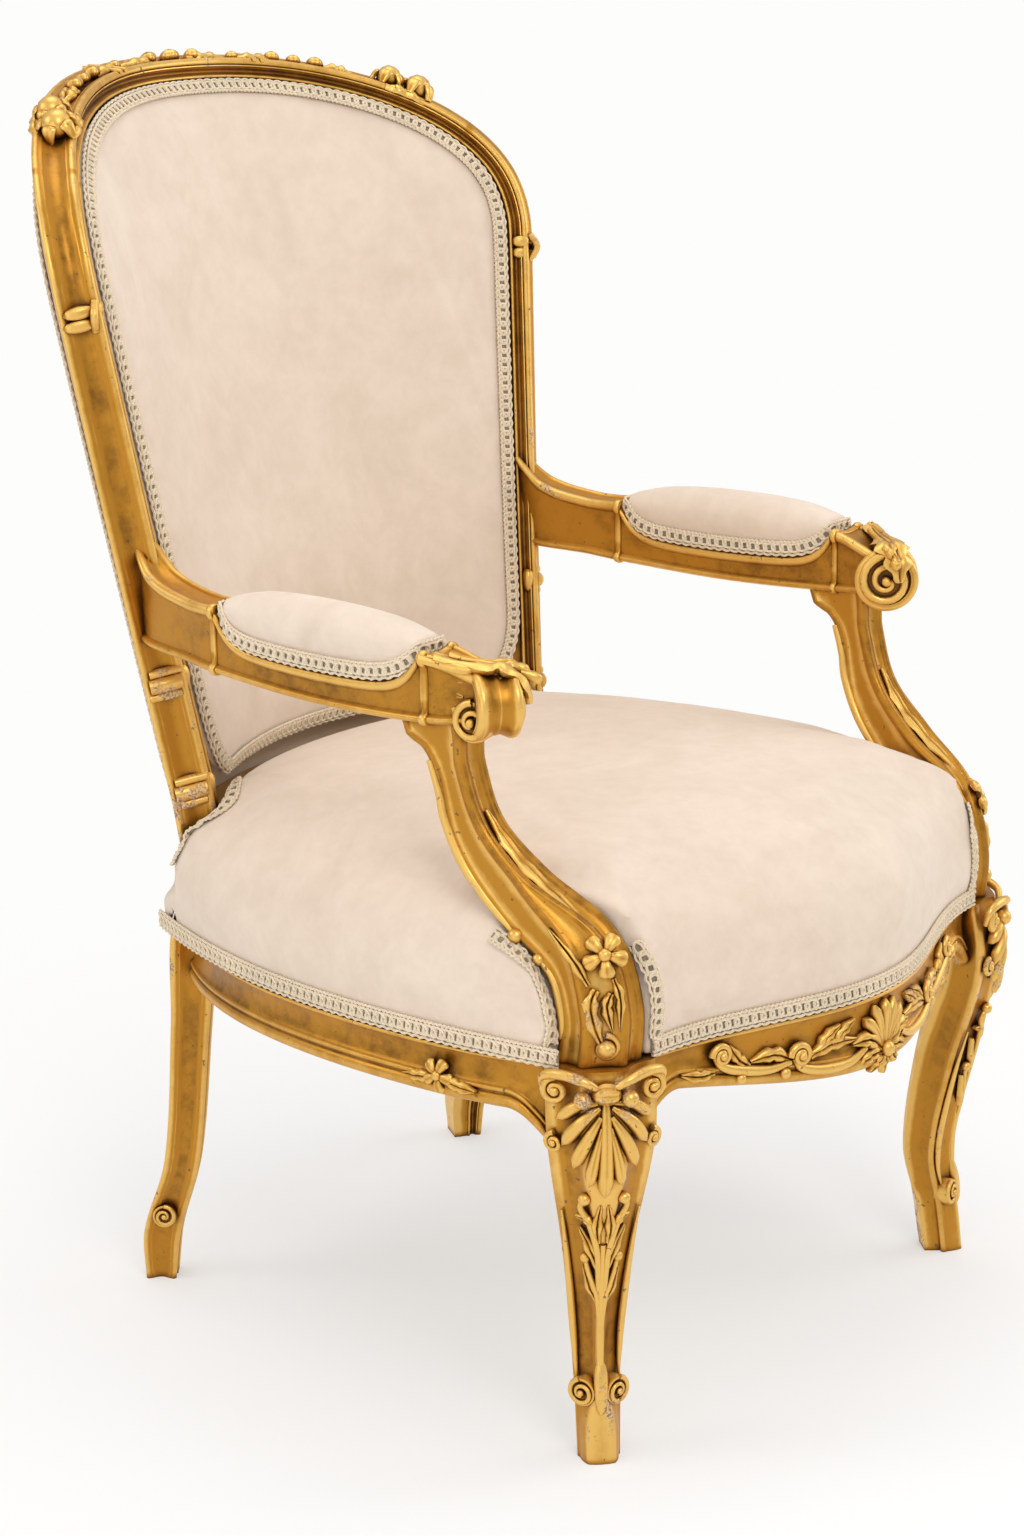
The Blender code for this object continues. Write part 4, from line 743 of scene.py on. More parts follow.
def leg_plan(wide, deep, shaped):
    """Leg seen on its diagonal: ridge in front, sunk faces, rolled edges; a plain block where shaped is 0."""
    flat = max(wide - deep, 0.16 * wide) * shaped + 0.62 * wide * (1.0 - shaped)
    roll = 0.0032
    sunk = 0.055 * wide * shaped - 0.0006 * (1.0 - shaped)
    half = [(deep + 0.0010, 0.0), (deep + 0.0008, flat * 0.45), (deep, flat * 0.9)]
    rim = wide - roll * (0.5 + 1.2 * shaped)
    half += hollow((deep * 0.94, flat * 1.06), (deep * 0.22, rim), (-sunk, -sunk), 8)
    half += arc((-0.02 * deep, wide - roll), roll, 40, 140, 6)
    half += hollow((-deep * 0.2, wide - roll * 1.5), (-deep, flat), (sunk * 0.4, -sunk * 0.4), 6)
    half.append((-deep, 0.0))
    points = half + [(s, -t) for s, t in reversed(half[1:-1])]
    root = math.sqrt(2)
    return [((s + t) / root, (t - s) / root) for s, t in points]


LEG_ROWS = smooth(FRONT_LEG, 12)


def front_leg_rings():
    rings = []
    for z, shift, wide, deep in LEG_ROWS:
        x, y = leg_centre(shift)
        shaped = min(z / VOLUTE_Z, 1.0) ** 3
        rings.append([Vector((x + u, y + v, z)) for u, v in leg_plan(wide, deep, shaped)])
    return rings


def build_front_legs():
    for side, word in SIDES:
        gilt_piece("cabriole_leg_" + word, skinned(mirror(front_leg_rings(), side)), ["front_leg_" + word])


# Seat rails

def bow(x):
    return 0.5 * (1 + math.cos(math.pi * min(abs(x) / FRONT_SPREAD, 1.0)))


def front_line(x):
    # Gimp along a path: a thin ground darkened as painted shade in the holes between the loops, a looped cord
    # on it and a twisted cord along each edge.
    return -(FRONT_FACE + FRONT_BOW * bow(x))


def side_line(y):
    behind = max(y - SIDE_FULL_Y, 0.0) / SIDE_REACH
    ahead = max(SIDE_FULL_Y - y, 0.0) / SIDE_FRONT_REACH
    return SIDE_X * (1 - behind ** SIDE_POWER - ahead * ahead)


def rear_line(x):
    return REAR_FACE - REAR_SAG * (x / REAR_SPREAD) ** 2


def apron_edge(x):
    return RAIL_BOTTOM + 0.004 - (APRON_DROP + 0.004) * bow(x) ** 0.6
# the ground takes the second finish, the darker one painted as shade in the holes


def rail_section(edge):
    """Fillet, hollow face, bead and lower roll; o runs outward from the plan curve."""
    section = [(-RAIL_THICK, RAIL_BOTTOM), (-RAIL_THICK, RAIL_TOP), (-0.0040, RAIL_TOP)]
    section += arc((-0.0024, RAIL_TOP - 0.0022), 0.0020, 100, -60, 6)
    section += hollow((-0.0030, RAIL_TOP - 0.0046), (-0.0022, edge + 0.0185), (-0.0022, 0.0), 8)
    section += arc((-0.0018, edge + 0.0155), 0.0022, 70, -70, 6)
    section += arc((-0.0050, edge + 0.0068), 0.0062, 55, -75, 10)
    return section + [(-0.0060, edge), (-0.0110, edge), (-0.0120, RAIL_BOTTOM)]


def plan_axes(points):
    """Outward axis at each point of a plan curve that runs with the chair on its left."""
    last = len(points) - 1
    axes = []
    for i in range(last + 1):
        ax, ay = points[max(i - 1, 0)]
        bx, by = points[min(i + 1, last)]
        axes.append(Vector((by - ay, ax - bx, 0.0)).normalized())
    return axes


def bracket(distance):
    """Drop of a rail's lower edge where it curves down into a leg."""
    share = min(max(distance / BRACKET_REACH, 0.0), 1.0)
    return BRACKET_DROP * (1.0 - math.sin(math.pi / 2 * share))


def rail_plans():
    """Plan curves of the four rails, each ending inside the leg or upright that holds it."""
    leg_x, leg_y = leg_centre(HEAD_SET)
    post_x, post_y = POST
    half = RAIL_THICK / 2
    edge = RAIL_BOTTOM - RAIL_EDGE
    xs = span(-leg_x, leg_x, 192)
    set_back = leg_y - half - front_line(leg_x)
    front = [(x, front_line(x) + set_back * (abs(x) / leg_x) ** 8) for x in xs]
    drops = [apron_edge(x) - bracket(leg_x - BRACKET_START - abs(x)) for x in xs]
    plans = {"front_seat_rail": (front, drops)}
    right = []
    for y in span(leg_y, post_y, 144):
        share = (y - leg_y) / (post_y - leg_y)
        at_leg = side_line(leg_y) - leg_x - half
        at_post = side_line(post_y) - post_x - half
        right.append((side_line(y) - at_leg * (1 - share) ** 10 - at_post * share ** 8, y))
    left = [(-x, y) for x, y in reversed(right)]
    edges = [edge - bracket(y - leg_y - BRACKET_START) for x, y in right]
    plans["side_seat_rail_right"] = (right, edges)
    plans["side_seat_rail_left"] = (left, edges[::-1])
    meet = rear_line(post_x) - post_y - half
    rear = [(x, rear_line(x) - meet * (abs(x) / post_x) ** 8) for x in span(post_x, -post_x, 112)]
    plans["rear_seat_rail"] = (rear, [edge] * len(rear))
    return plans


def build_seat_rails():
    names = {"front_seat_rail": "front_rail", "rear_seat_rail": "rear_rail",
             "side_seat_rail_left": "side_rail_left", "side_seat_rail_right": "side_rail_right"}
    for node, (plan, edges) in rail_plans().items():
        rings = [[Vector((x, y, z)) + outward * o for o, z in rail_section(edge)]
                 for (x, y), edge, outward in zip(plan, edges, plan_axes(plan))]
        gilt_piece(names[node], skinned(rings), [node])


# Arms and supports

def arm_path():
    """Rows of -y, x, underside, top and width from the upright to the scroll."""
    spot, out, rear = flank_station((ARM_BOTTOM + ARM_TOP) / 2 + 0.02)
    root = spot - out * FRAME_WIDTH * 0.30 + rear * FRAME_DEPTH * 0.5
    middle = (PAD_REAR_Y + PAD_FRONT_Y) / 2
    rows = [(-root.y, root.x, ARM_BOTTOM + 0.012, ARM_TOP + 0.034, FRAME_WIDTH * 0.7),
            (-root.y + 0.026, root.x + 0.006, ARM_BOTTOM + 0.009, ARM_TOP + 0.012, FRAME_WIDTH),
            (-PAD_REAR_Y - 0.040, ARM_X - ARM_SWEEP - 0.005, ARM_BOTTOM + 0.007, ARM_TOP + 0.001,
             ARM_WIDTH * 0.86),
            (-PAD_REAR_Y - 0.004, ARM_X - ARM_SWEEP, ARM_BOTTOM + 0.004, ARM_TOP, ARM_WIDTH * 0.94),
            (-middle, ARM_X - ARM_SWEEP * 0.35, ARM_BOTTOM - 0.001, ARM_TOP - 0.002, ARM_WIDTH),
            (-PAD_FRONT_Y + 0.004, ARM_X, ARM_BOTTOM + 0.002, ARM_TOP - 0.002, ARM_WIDTH),
            (-SCROLL.y, SCROLL.x, SCROLL.z - SCROLL_RADIUS * 0.5, SCROLL.z + SCROLL_RADIUS * 0.86,
             ARM_WIDTH * 0.88)]
    return smooth(rows, 22)


ARM_ROWS = arm_path()


def arm_at(y):
    for low, high in zip(ARM_ROWS, ARM_ROWS[1:]):
        if low[0] <= -y <= high[0]:
            t = (-y - low[0]) / (high[0] - low[0])
            return [a + (b - a) * t for a, b in zip(low, high)]
    return ARM_ROWS[-1] if -y > ARM_ROWS[-1][0] else ARM_ROWS[0]


def arm_section(width, low, high):
    """Rolled upper edges with a channel between them, flat sides and a fillet along the bottom."""
    half = width / 2
    tall = high - low
    roll = min(0.0045, tall * 0.16)
    side = [(half - 0.007, low), (half - 0.0050, low), (half - 0.0022, low + 0.0012)]
    side += arc((half - 0.0030, low + 0.0040), 0.0024, -50, 60, 5)
    side += [(half - 0.0042, low + 0.0080), (half - 0.0042, low + tall * 0.36)]
    side += [(half - 0.0040, high - 0.30 * tall), (half - 0.0032, high - roll * 2.1)]
    side.append((half - 0.0022, high - roll * 2.0))
    side += arc((half - roll, high - roll), roll, -40, 150, 8)
    side += hollow((half - roll * 2.1, high - roll * 0.5), (0.0, high - roll * 0.9), (0.0, -0.0004), 4)
    return side + [(-u, z) for u, z in reversed(side[:-1])]


def arm_axes(y):
    after, before = arm_at(y - 0.004), arm_at(y + 0.004)
    run = Vector((after[1] - before[1], before[0] - after[0], 0.0)).normalized()
    return run, Vector((-run.y, run.x, 0.0))


def arm_ring(row, high=None):
    back, x, low, top, width = row
    across = arm_axes(-back)[1]
    section = arm_section(width, low, top if high is None else high)
    return [Vector((x, -back, z)) + across * u for u, z in section]


def pad_floor(y):
    """Height of the sunk seat for the pad, a shallow boat shape."""
    middle = (PAD_REAR_Y + PAD_FRONT_Y) / 2
    share = min(abs(y - middle) / ((PAD_REAR_Y - PAD_FRONT_Y) / 2), 1.0)
    return PAD_SEAT_Z + PAD_DIP * share * share + PAD_RISE * share ** 8


def arm_rings():
    rings = []
    ends = {PAD_REAR_Y: False, PAD_FRONT_Y: False}
    for row in ARM_ROWS:
        y = -row[0]
        for end, done in ends.items():
            if not done and y <= end:
                ends[end] = True
                edge = arm_at(end)
                pair = [arm_ring(edge), arm_ring(edge, pad_floor(end))]
                rings += pair if end == PAD_REAR_Y else pair[::-1]
        sunk = PAD_FRONT_Y < y < PAD_REAR_Y
        rings.append(arm_ring(row, pad_floor(y) if sunk else None))
    return rings


def scroll_axle(side):
    return Vector((math.cos(ARM_TURN), side * math.sin(ARM_TURN), 0.0))


def turned(bm, centre, axis, profile, sides):
    """Turn a profile of (radius, distance along the axis) pairs."""
    axis = axis.normalized()
    first = axis.orthogonal().normalized()
    second = axis.cross(first)
    rings = []
    for radius, along in profile:
        rings.append([centre + axis * along + (first * math.cos(math.tau * i / sides)
                                               + second * math.sin(math.tau * i / sides)) * radius
                      for i in range(sides)])
    skin(bm, rings)


def scroll_profile():
    """Two rolls round the rim, with the faces dished for the volutes."""
    half, radius = SCROLL_WIDTH / 2, SCROLL_RADIUS
    face = [(0.0, half - 0.0035), (radius * 0.72, half - 0.0035), (radius * 0.80, half - 0.0015)]
    rim = [(radius - 0.0035 + u, half - 0.0065 + v) for u, v in arc((0.0, 0.0), 0.0045, 100, -40, 6)]
    groove = [(radius - 0.0030, 0.0045), (radius - 0.0022, 0.0)]
    outer = face + rim + groove
    return outer + [(r, -w) for r, w in reversed(outer[:-1])]


def support_rows():
    foot = RAIL_TOP + FIT
    foot_x, foot_y = leg_centre(HEAD_SET)
    rise = SUPPORT_BEND_Z - foot
    climb = ARM_BOTTOM - SUPPORT_BEND_Z
    top_x, top_y = SUPPORT_TOP
    size = SUPPORT_FOOT_SIZE
    return [(foot, foot_y, foot_x, size, size), (foot + rise * 0.34, foot_y - 0.002, foot_x, size, size),
            (foot + rise * 0.70, foot_y + 0.015, foot_x + 0.002, size, size * 0.92),
            (SUPPORT_BEND_Z, (top_y + foot_y) / 2 + 0.004, (top_x + foot_x) / 2, SUPPORT_BEND_DEPTH,
             SUPPORT_BEND_WIDTH),
            (SUPPORT_BEND_Z + climb * 0.33, top_y - 0.018, top_x - 0.003,
             (SUPPORT_TOP_SIZE + SUPPORT_BEND_DEPTH) / 2, SUPPORT_TOP_SIZE),
            (SUPPORT_BEND_Z + climb * 0.74, top_y - 0.001, top_x, SUPPORT_TOP_SIZE, SUPPORT_TOP_SIZE),
            (ARM_BOTTOM - 0.010, top_y + 0.006, top_x, SUPPORT_TOP_SIZE + 0.012, SUPPORT_TOP_SIZE + 0.002),
            (ARM_BOTTOM + 0.006, top_y + 0.015, top_x, SUPPORT_TOP_SIZE * 2, SUPPORT_TOP_SIZE + 0.003)]


def corner_cut(z):
    """How far the outer front corner of a support is cut away to carry its carving."""
    share = min(max((CORNER_CUT_TOP - z) / CORNER_CUT_RUN, 0.0), 1.0)
    return CORNER_CUT * share * share * (3 - 2 * share)


def support_section(width, depth, cut=0.0):
    """Rolls at the corners, a flute in front, flat sides, beads along the rear edges, one corner cut."""
    u, v = width / 2, depth / 2
    roll = 0.0044
    rear = [(u - 0.006, -v)] + arc((u - 0.0034, 0.0036 - v), 0.0034, -110, 60, 7) + [(u - 0.0028, 0.0085 - v)]
    side = [(u - 0.0030, b) for b in span(0.0100 - v, v - 0.0140 - cut, 4)] + [(u - 0.0028, v - 0.0105 - cut)]
    first = arc((u - 0.0042, v - 0.0046 - cut), roll, -35, 48, 5)
    second = arc((u - 0.0046 - cut, v - 0.0042), roll, 42, 130, 5)
    section = [(0.0, -v)] + rear + side + first
    section += hollow(first[-1], second[0], (-0.12 * cut, -0.12 * cut), 6)[1:-1] + second
    start, end = (u - 0.0095 - cut, v - 0.0016), (0.0095 - u, v - 0.0016)
    section += hollow(start, end, (0.0, -0.0040 * min((start[0] - end[0]) / 0.015, 1.0)), 10)
    inner = rear + [(u - 0.0030, b) for b in span(0.0100 - v, v - 0.0140, 4)] + [(u - 0.0028, v - 0.0105)]
    inner += arc((u - 0.0042, v - 0.0046), roll, -35, 130, 8)
    return section + [(-a, b) for a, b in reversed(inner)]


def support_places(fine=10):
    """Point, outward axis, forward axis, width and depth along the support."""
    rows = smooth(support_rows(), fine)
    last = len(rows) - 1
    places = []
    for i, (z, y, x, depth, width) in enumerate(rows):
        low, high = rows[max(i - 1, 0)], rows[min(i + 1, last)]
        run = Vector((0.0, high[1] - low[1], high[0] - low[0])).normalized()
        if i in (0, last):
            run = UP
        front = Vector((0.0, -run.z, run.y))
        places.append((Vector((x, y, z)), Vector((1.0, 0.0, 0.0)), front, width, depth))
    return places


def support_rings():
    rings = []
    for spot, out, front, width, depth in support_places():
        section = support_section(width, depth, corner_cut(spot.z))
        rings.append([spot + out * a + front * b for a, b in section])
    return rings


def build_arms():
    for side, word in SIDES:
        bm = skinned(mirror(arm_rings(), side))
        eye = Vector((side * SCROLL.x, SCROLL.y, SCROLL.z))
        turned(bm, eye, scroll_axle(side), scroll_profile(), 48)
        gilt_piece("arm_rest_" + word, bm, ["arm_" + word])
        gilt_piece("arm_stump_" + word, skinned(mirror(support_rings(), side)), ["arm_support_" + word])


# Carving

def ball(bm, centre, radius):
    bmesh.ops.create_icosphere(bm, subdivisions=2, radius=radius, matrix=Matrix.Translation(centre))


def leaf(bm, points, faces, wide, high, lobes=3, blunt=False):
    """Carved leaf along a line: lobed edge, raised either side of a grooved midrib, rim let into the wood.

    A blunt one widens to a round end, like a ray of a shell.
    """
    high *= sizes().carving
    spine = flow(points, 4)
    face = flow(faces, 4) if isinstance(faces, list) else faces
    rows = []
    for i, (spot, (_, side, over)) in enumerate(zip(spine, frames_along(spine, face))):
        t = i / (len(spine) - 1)
        cut_in = 0.80 + 0.20 * math.cos(math.tau * lobes * t)
        half = wide * max(math.sin(math.pi * (0.10 + 0.88 * t)) ** 0.6 * cut_in, 0.05)
        rise = high * (0.30 + 0.70 * math.sin(math.pi * (0.18 + 0.74 * t)))
        if blunt:
            half = wide * (0.35 + 0.65 * t) * math.sqrt(max(1.0 - t ** 7, 0.01))
            rise = high * (0.55 + 0.45 * t) * (1.0 - 0.6 * t ** 8)
        row = []
        for u in span(-1.0, 1.0, 8):
            vein = 0.86 + 0.14 * math.cos(math.tau * lobes * t + 2.4 * abs(u))
            swell = math.sqrt(1.0 - u * u) if blunt else math.sqrt(1.0 - 0.9 * u * u) * vein
            groove = (0.12 if blunt else 0.40) * math.exp(-(u / 0.2) ** 2)
            row.append(spot + side * half * u + over * rise * (swell - groove))
        rows.append(row + [spot + side * half * u - over * 0.002 for u in (0.8, -0.8)])
    skin(bm, rows)


def bud(bm, base, tip, radius, ribs=5):
    """Ribbed bud that swells from its base and closes at its tip."""
    axis = tip - base
    first = axis.orthogonal().normalized()
    second = axis.normalized().cross(first)
    rows = []
    for t in span(0.0, 1.0, 8):
        swell = radius * math.sqrt(max(1.0 - ((t - 0.48) / 0.53) ** 2, 0.02))
        ring = []
        for angle in span(0.0, math.tau, 4 * ribs)[:-1]:
            reach = swell * (0.90 + 0.10 * math.cos(ribs * angle))
            ring.append(base + axis * t + (first * math.cos(angle) + second * math.sin(angle)) * reach)
        rows.append(ring)
    skin(bm, rows)


def flower(bm, centre, axis, radius):
    """Five blunt petals round a ball."""
    axis = axis.normalized()
    first = axis.orthogonal().normalized()
    second = axis.cross(first)
    petal = ((0.1, 0.10), (0.45, 0.28), (0.8, 0.20), (1.0, 0.02))
    for angle in span(0.0, math.tau, 5)[:-1]:
        way = first * math.cos(angle) + second * math.sin(angle)
        points = [centre + (way * a + axis * b) * radius for a, b in petal]
        leaf(bm, points, axis, radius * 0.50, radius * 0.30, 1, True)
    ball(bm, centre + axis * radius * 0.28, radius * 0.34)


def volute(bm, centre, axis, start, radius, cord, turns=1.6, way=1.0):
    """Roll that winds in to an eye, on a face that looks along the axis."""
    axis = axis.normalized()
    start = (start - axis * start.dot(axis)).normalized()
    across = axis.cross(start) * way
    path, radii = [], []
    for t in span(0.0, 1.0, int(turns * 20)):
        angle = math.tau * turns * t
        reach = radius * (1.0 - t) ** 0.85 + cord * 0.8
        path.append(centre + (start * math.cos(angle) + across * math.sin(angle)) * reach
                    + axis * cord * 0.9 * t)
        radii.append(cord * (1.0 - 0.40 * t))
    tube(bm, path, radii)
    ball(bm, centre + axis * cord * 0.9, cord * 1.15)


def scroll_line(bm, points, cord, ends=0.55):
    """Roll along a line, thinner towards both ends."""
    path = flow(points, 6)
    last = len(path) - 1
    tube(bm, path, [cord * (ends + (1.0 - ends) * math.sin(math.pi * i / last)) for i in range(last + 1)])


def boss(bm, centre, axis, radius, deep):
    """Dished disc that carries a volute."""
    profile = [(0.0, 0.0), (radius * 0.70, 0.0), (radius * 0.82, 0.0012), (radius * 0.95, 0.0010),
               (radius, -0.0010), (radius * 0.98, -deep), (0.0, -deep)]
    turned(bm, centre, axis, profile, 36)


def carved(name, work, side=1):
    """Piece of carving made on the +X side, turned over for the other side."""
    bm = bmesh.new()
    work(bm)
    if side < 0:
        bmesh.ops.scale(bm, vec=(-1.0, 1.0, 1.0), verts=bm.verts)
    gilt_piece(name, bm, sharp=55.0)


def leaf_on(bm, surface, line, wide, high, lobes=3, blunt=False):
    """Leaf along places on a surface, which gives for each a point and the way it looks."""
    places = [surface(*at) for at in line]
    leaf(bm, [spot for spot, face in places], [face for spot, face in places], wide, high, lobes, blunt)


def leaves_on(bm, surface, way, rows, high, lobes=3, blunt=False):
    """Leaves from rows of a line and a half width in millimetres; way -1 turns the lines over."""
    for line, wide in rows:
        places = [(way * a / 1000, b / 1000) for a, b in line]
        leaf_on(bm, surface, places, wide / 1000, high, lobes, blunt)


DIAGONAL = Vector((1.0, -1.0, 0.0)).normalized()
ACROSS_LEG = Vector((1.0, 1.0, 0.0)).normalized()


def leg_at(z):
    for low, high in zip(LEG_ROWS, LEG_ROWS[1:]):
        if low[0] <= z <= high[0]:
            t = (z - low[0]) / (high[0] - low[0])
            return [a + (b - a) * t for a, b in zip(low, high)][1:]
    return LEG_ROWS[-1][1:]


def leg_reach(t, z):
    """How far the +X leg's face stands out on the diagonal, at a distance across it."""
    shift, wide, deep = leg_at(z)
    flat = max(wide - deep, 0.16 * wide)
    past = min(max((abs(t) - flat) / (wide - flat), 0.0), 1.0)
    return shift + deep * (1.0 - 0.85 * past)


def on_leg(t, z, lift=0.0):
    """Place on the +X leg and the way its face looks; t runs across the diagonal towards the side rail."""
    foot = Vector((*FRONT_FOOT, z))
    slope = (leg_reach(t, z - 0.004) - leg_reach(t, z + 0.004)) / 0.008
    face = (DIAGONAL + ACROSS_LEG * 0.9 * t / leg_at(z)[1] + UP * slope * 0.8).normalized()
    return foot + DIAGONAL * leg_reach(t, z) + ACROSS_LEG * t + face * lift, face


def knee_carving(bm):
    """Shell of rays under a ribbed roll, with scrolls over it and paired scrolls and leaves down the leg."""
    ray = [(0.0, 0.316), (0.0, 0.292), (0.0, 0.264), (0.0, 0.234)]
    leaf_on(bm, on_leg, ray, 0.0095, 0.0092, 1, True)
    for way in (-1, 1):
        leaves_on(bm, on_leg, way, (
            (((6, 312), (20, 310), (34, 297)), 7.5), (((5, 308), (18, 298), (31, 277)), 8.0),
            (((4, 301), (14, 284), (23, 259)), 8.0), (((3, 293), (8, 270), (12, 244)), 7.0)), 0.0088, 1, True)
        spot = on_leg(way * 0.034, 0.319, 0.005)[0]
        volute(bm, spot, DIAGONAL + ACROSS_LEG * way * 0.4, UP, 0.0072, 0.0036, 1.3, -way)
        ball(bm, on_leg(way * 0.0165, 0.315, 0.005)[0], 0.0070)
        scroll_line(bm, [on_leg(way * t, z, lift)[0] for t, z, lift in (
            (0.004, 0.322, 0.007), (0.014, 0.330, 0.010), (0.028, 0.334, 0.011), (0.040, 0.329, 0.009),
            (0.042, 0.317, 0.004))], 0.0042)
        spot, face = on_leg(way * 0.037, 0.277, 0.001)
        volute(bm, spot, face, UP, 0.0056, 0.0026, 1.3, -way)
        for line, cord in ((((2, 148), (4, 182), (10, 208), (17, 222), (15, 231)), 3.0),
                           (((1, 118), (3, 142), (9, 162), (12, 176)), 2.6)):
            run = [on_leg(way * t / 1000, z / 1000, 0.001)[0] for t, z in line]
            scroll_line(bm, run, cord / 1000, 0.8)
            ball(bm, run[-1], cord * 0.0017)
        leaves_on(bm, on_leg, way, (
            (((3, 168), (9, 186), (17, 204)), 5.8), (((4, 192), (5, 208), (3, 226)), 5.2),
            (((2, 136), (8, 150), (13, 168)), 4.6), (((6, 204), (12, 212), (20, 214)), 4.6)), 0.0050, 2)
    spot = on_leg(0.0, 0.319, 0.006)[0]
    bud(bm, spot - ACROSS_LEG * 0.011, spot + ACROSS_LEG * 0.011, 0.0088, 6)
    scroll_line(bm, [on_leg(0.0, z, 0.0004)[0] for z in (0.190, 0.150, 0.110, 0.076)], 0.0036, 0.8)


def foot_carving(bm):
    """Pair of volutes at the toe, with a lobe between them."""
    for way in (-1, 1):
        axis = (DIAGONAL * 0.80 + ACROSS_LEG * way * 0.60).normalized()
        spot = on_leg(way * 0.0115, VOLUTE_Z - 0.003)[0]
        boss(bm, spot + axis * 0.0040, axis, 0.0120, 0.012)
        volute(bm, spot + axis * 0.0042, axis, UP + ACROSS_LEG * way * 0.3, 0.0090, 0.0025, 1.5, -way)
        edge = [(0.90 * leg_at(z)[1], z) for z in (0.215, 0.180, 0.145, 0.110, 0.084)]
        scroll_line(bm, [on_leg(way * t, z)[0] for t, z in edge + [(0.0165, 0.066)]], 0.0032, 0.3)
    bud(bm, on_leg(0.0, 0.084, 0.0)[0], on_leg(0.0, 0.040, 0.0005)[0], 0.0066, 3)


def on_support(z, out, ahead):
    """Place on the +X support: out across it and ahead along its depth, each from -1 to 1, and the axes."""
    spot, side, front, width, depth = min(support_places(), key=lambda place: abs(place[0].z - z))
    return spot + side * out * width / 2 + front * ahead * depth / 2, side, front


def on_corner(z, t=0.0):
    """Place on the cut corner of the +X support and the way it looks; t runs towards the outer side."""
    spot, side, front, width, depth = min(support_places(), key=lambda place: abs(place[0].z - z))
    inset = 0.0034 + corner_cut(z) / 2
    face = (side + front).normalized()
    corner = spot + side * (width / 2 - inset) + front * (depth / 2 - inset)
    return corner + (side - front).normalized() * t, face


def support_carving(bm):
    """Flower and curled leaves on the cut corner, a husk up the front, rolls along the rear edges."""
    spot, face = on_corner(0.410, -0.010)
    flower(bm, spot, face, 0.0165)
    husk = [on_support(z, out, 0.82) for z, out in ((0.424, 0.10), (0.448, 0.02), (0.478, 0.0), (0.512, 0.0))]
    leaf(bm, [place[0] for place in husk], [place[2] for place in husk], 0.0088, 0.0060, 4)
    leaves_on(bm, on_corner, 1, (
        (((394, 4), (384, 10), (368, 9), (352, 1)), 8.0), (((392, -7), (380, -2), (364, -5)), 6.0),
        (((400, 9), (416, 13), (436, 12)), 5.5), (((398, -11), (384, -13), (366, -11)), 5.0)), 0.0068)
    spot, face = on_corner(0.351, -0.001)
    volute(bm, spot, face, UP, 0.0080, 0.0030, 1.2)
    ball(bm, spot + face * 0.003, 0.0074)
    for way in (-1, 1):
        for start, end, knob in ((0.560, 0.446, 0.0066), (0.350, 0.430, 0.0054)):
            scroll_line(bm, [on_support(z, way * 0.90, -0.92)[0] for z in span(start, end, 5)], 0.0042, 0.7)
            ball(bm, on_support(end, way * 0.92, -0.94)[0], knob)


def arm_carving(bm):
    """Collar at each end of the pad, leaves over the scroll and a volute on each of its faces."""
    for end, step in ((PAD_FRONT_Y, -1), (PAD_REAR_Y, 1)):
        rings = []
        for along, grown in ((0.0006, 0.0002), (0.0016, 0.0016), (0.0040, 0.0022), (0.0064, 0.0016),
                             (0.0076, 0.0002)):
            back, x, low, top, width = arm_at(end + step * along)
            across = arm_axes(-back)[1]
            section = grow(arm_section(width, low, top), grown)
            rings.append([Vector((x, -back, z)) + across * u for u, z in section])
        skin(bm, rings)
    start = PAD_FRONT_Y - 0.009
    crown = [(start, arm_at(start)[3] - 0.001)]
    reach = SCROLL_RADIUS + 0.001
    for angle in (75, 100, 128, 155, 180):
        turn = math.radians(angle)
        crown.append((SCROLL.y + reach * math.cos(turn), SCROLL.z + reach * math.sin(turn)))
    front = Vector((-math.sin(ARM_TURN), -math.cos(ARM_TURN), 0.0))
    points, faces = [], []
    for y, z in crown:
        ahead = SCROLL.y - y
        x = SCROLL.x + front.x * ahead + 0.004 * (ahead < 0)
        points.append(Vector((x, SCROLL.y + front.y * ahead, z)))
        faces.append((front * ahead + UP * (z - SCROLL.z)).normalized())
    leaf(bm, points, faces, 0.0175, 0.0075, 4)
    axle = scroll_axle(1)
    for way in (-1, 1):
        edge = [p + axle * way * 0.0120 for p in points[:4]]
        leaf(bm, edge, faces[:4], 0.0082, 0.0062, 3)
        for number in (1, 2, 3):
            base = points[number] + axle * way * 0.004
            tip = points[number] + axle * way * 0.0185 - faces[number] * 0.002
            ahead = points[min(number + 1, 5)] - points[number]
            lobe = [base, base.lerp(tip, 0.5) + ahead * 0.2, tip + ahead * 0.5]
            leaf(bm, lobe, faces[number], 0.0062, 0.0072, 1, True)
    inner = SCROLL - axle * (SCROLL_WIDTH / 2 - 0.003)
    volute(bm, inner, -axle, UP, 0.0190, 0.0042, 1.8, 1.0)
    outward = Vector((0.975, -0.22, 0.0)).normalized()
    outer = Vector((SCROLL.x + 0.0185, SCROLL.y + 0.004, SCROLL.z - 0.012))
    boss(bm, outer, outward, 0.0165, 0.020)
    volute(bm, outer, outward, UP, 0.0125, 0.0034, 1.5, -1.0)
    for z, lift in ((ARM_BOTTOM + 0.034, 0.6), (ARM_BOTTOM + 0.024, 0.3)):
        spot = outer + Vector((0.0, 0.034, z - outer.z))
        leaf(bm, [spot, spot + Vector((0.0, -0.012, 0.004)), spot + Vector((0.0, -0.026, 0.008 * lift))],
             Vector((1.0, 0.0, 0.0)), 0.0060, 0.0034)


def on_rail(x, z, lift=0.0):
    """Place on the front rail's face and the way it looks."""
    slope = (front_line(x + 0.002) - front_line(x - 0.002)) / 0.004
    face = Vector((slope, -1.0, 0.0)).normalized()
    return Vector((x, front_line(x), z)) + face * (lift - 0.0030), face


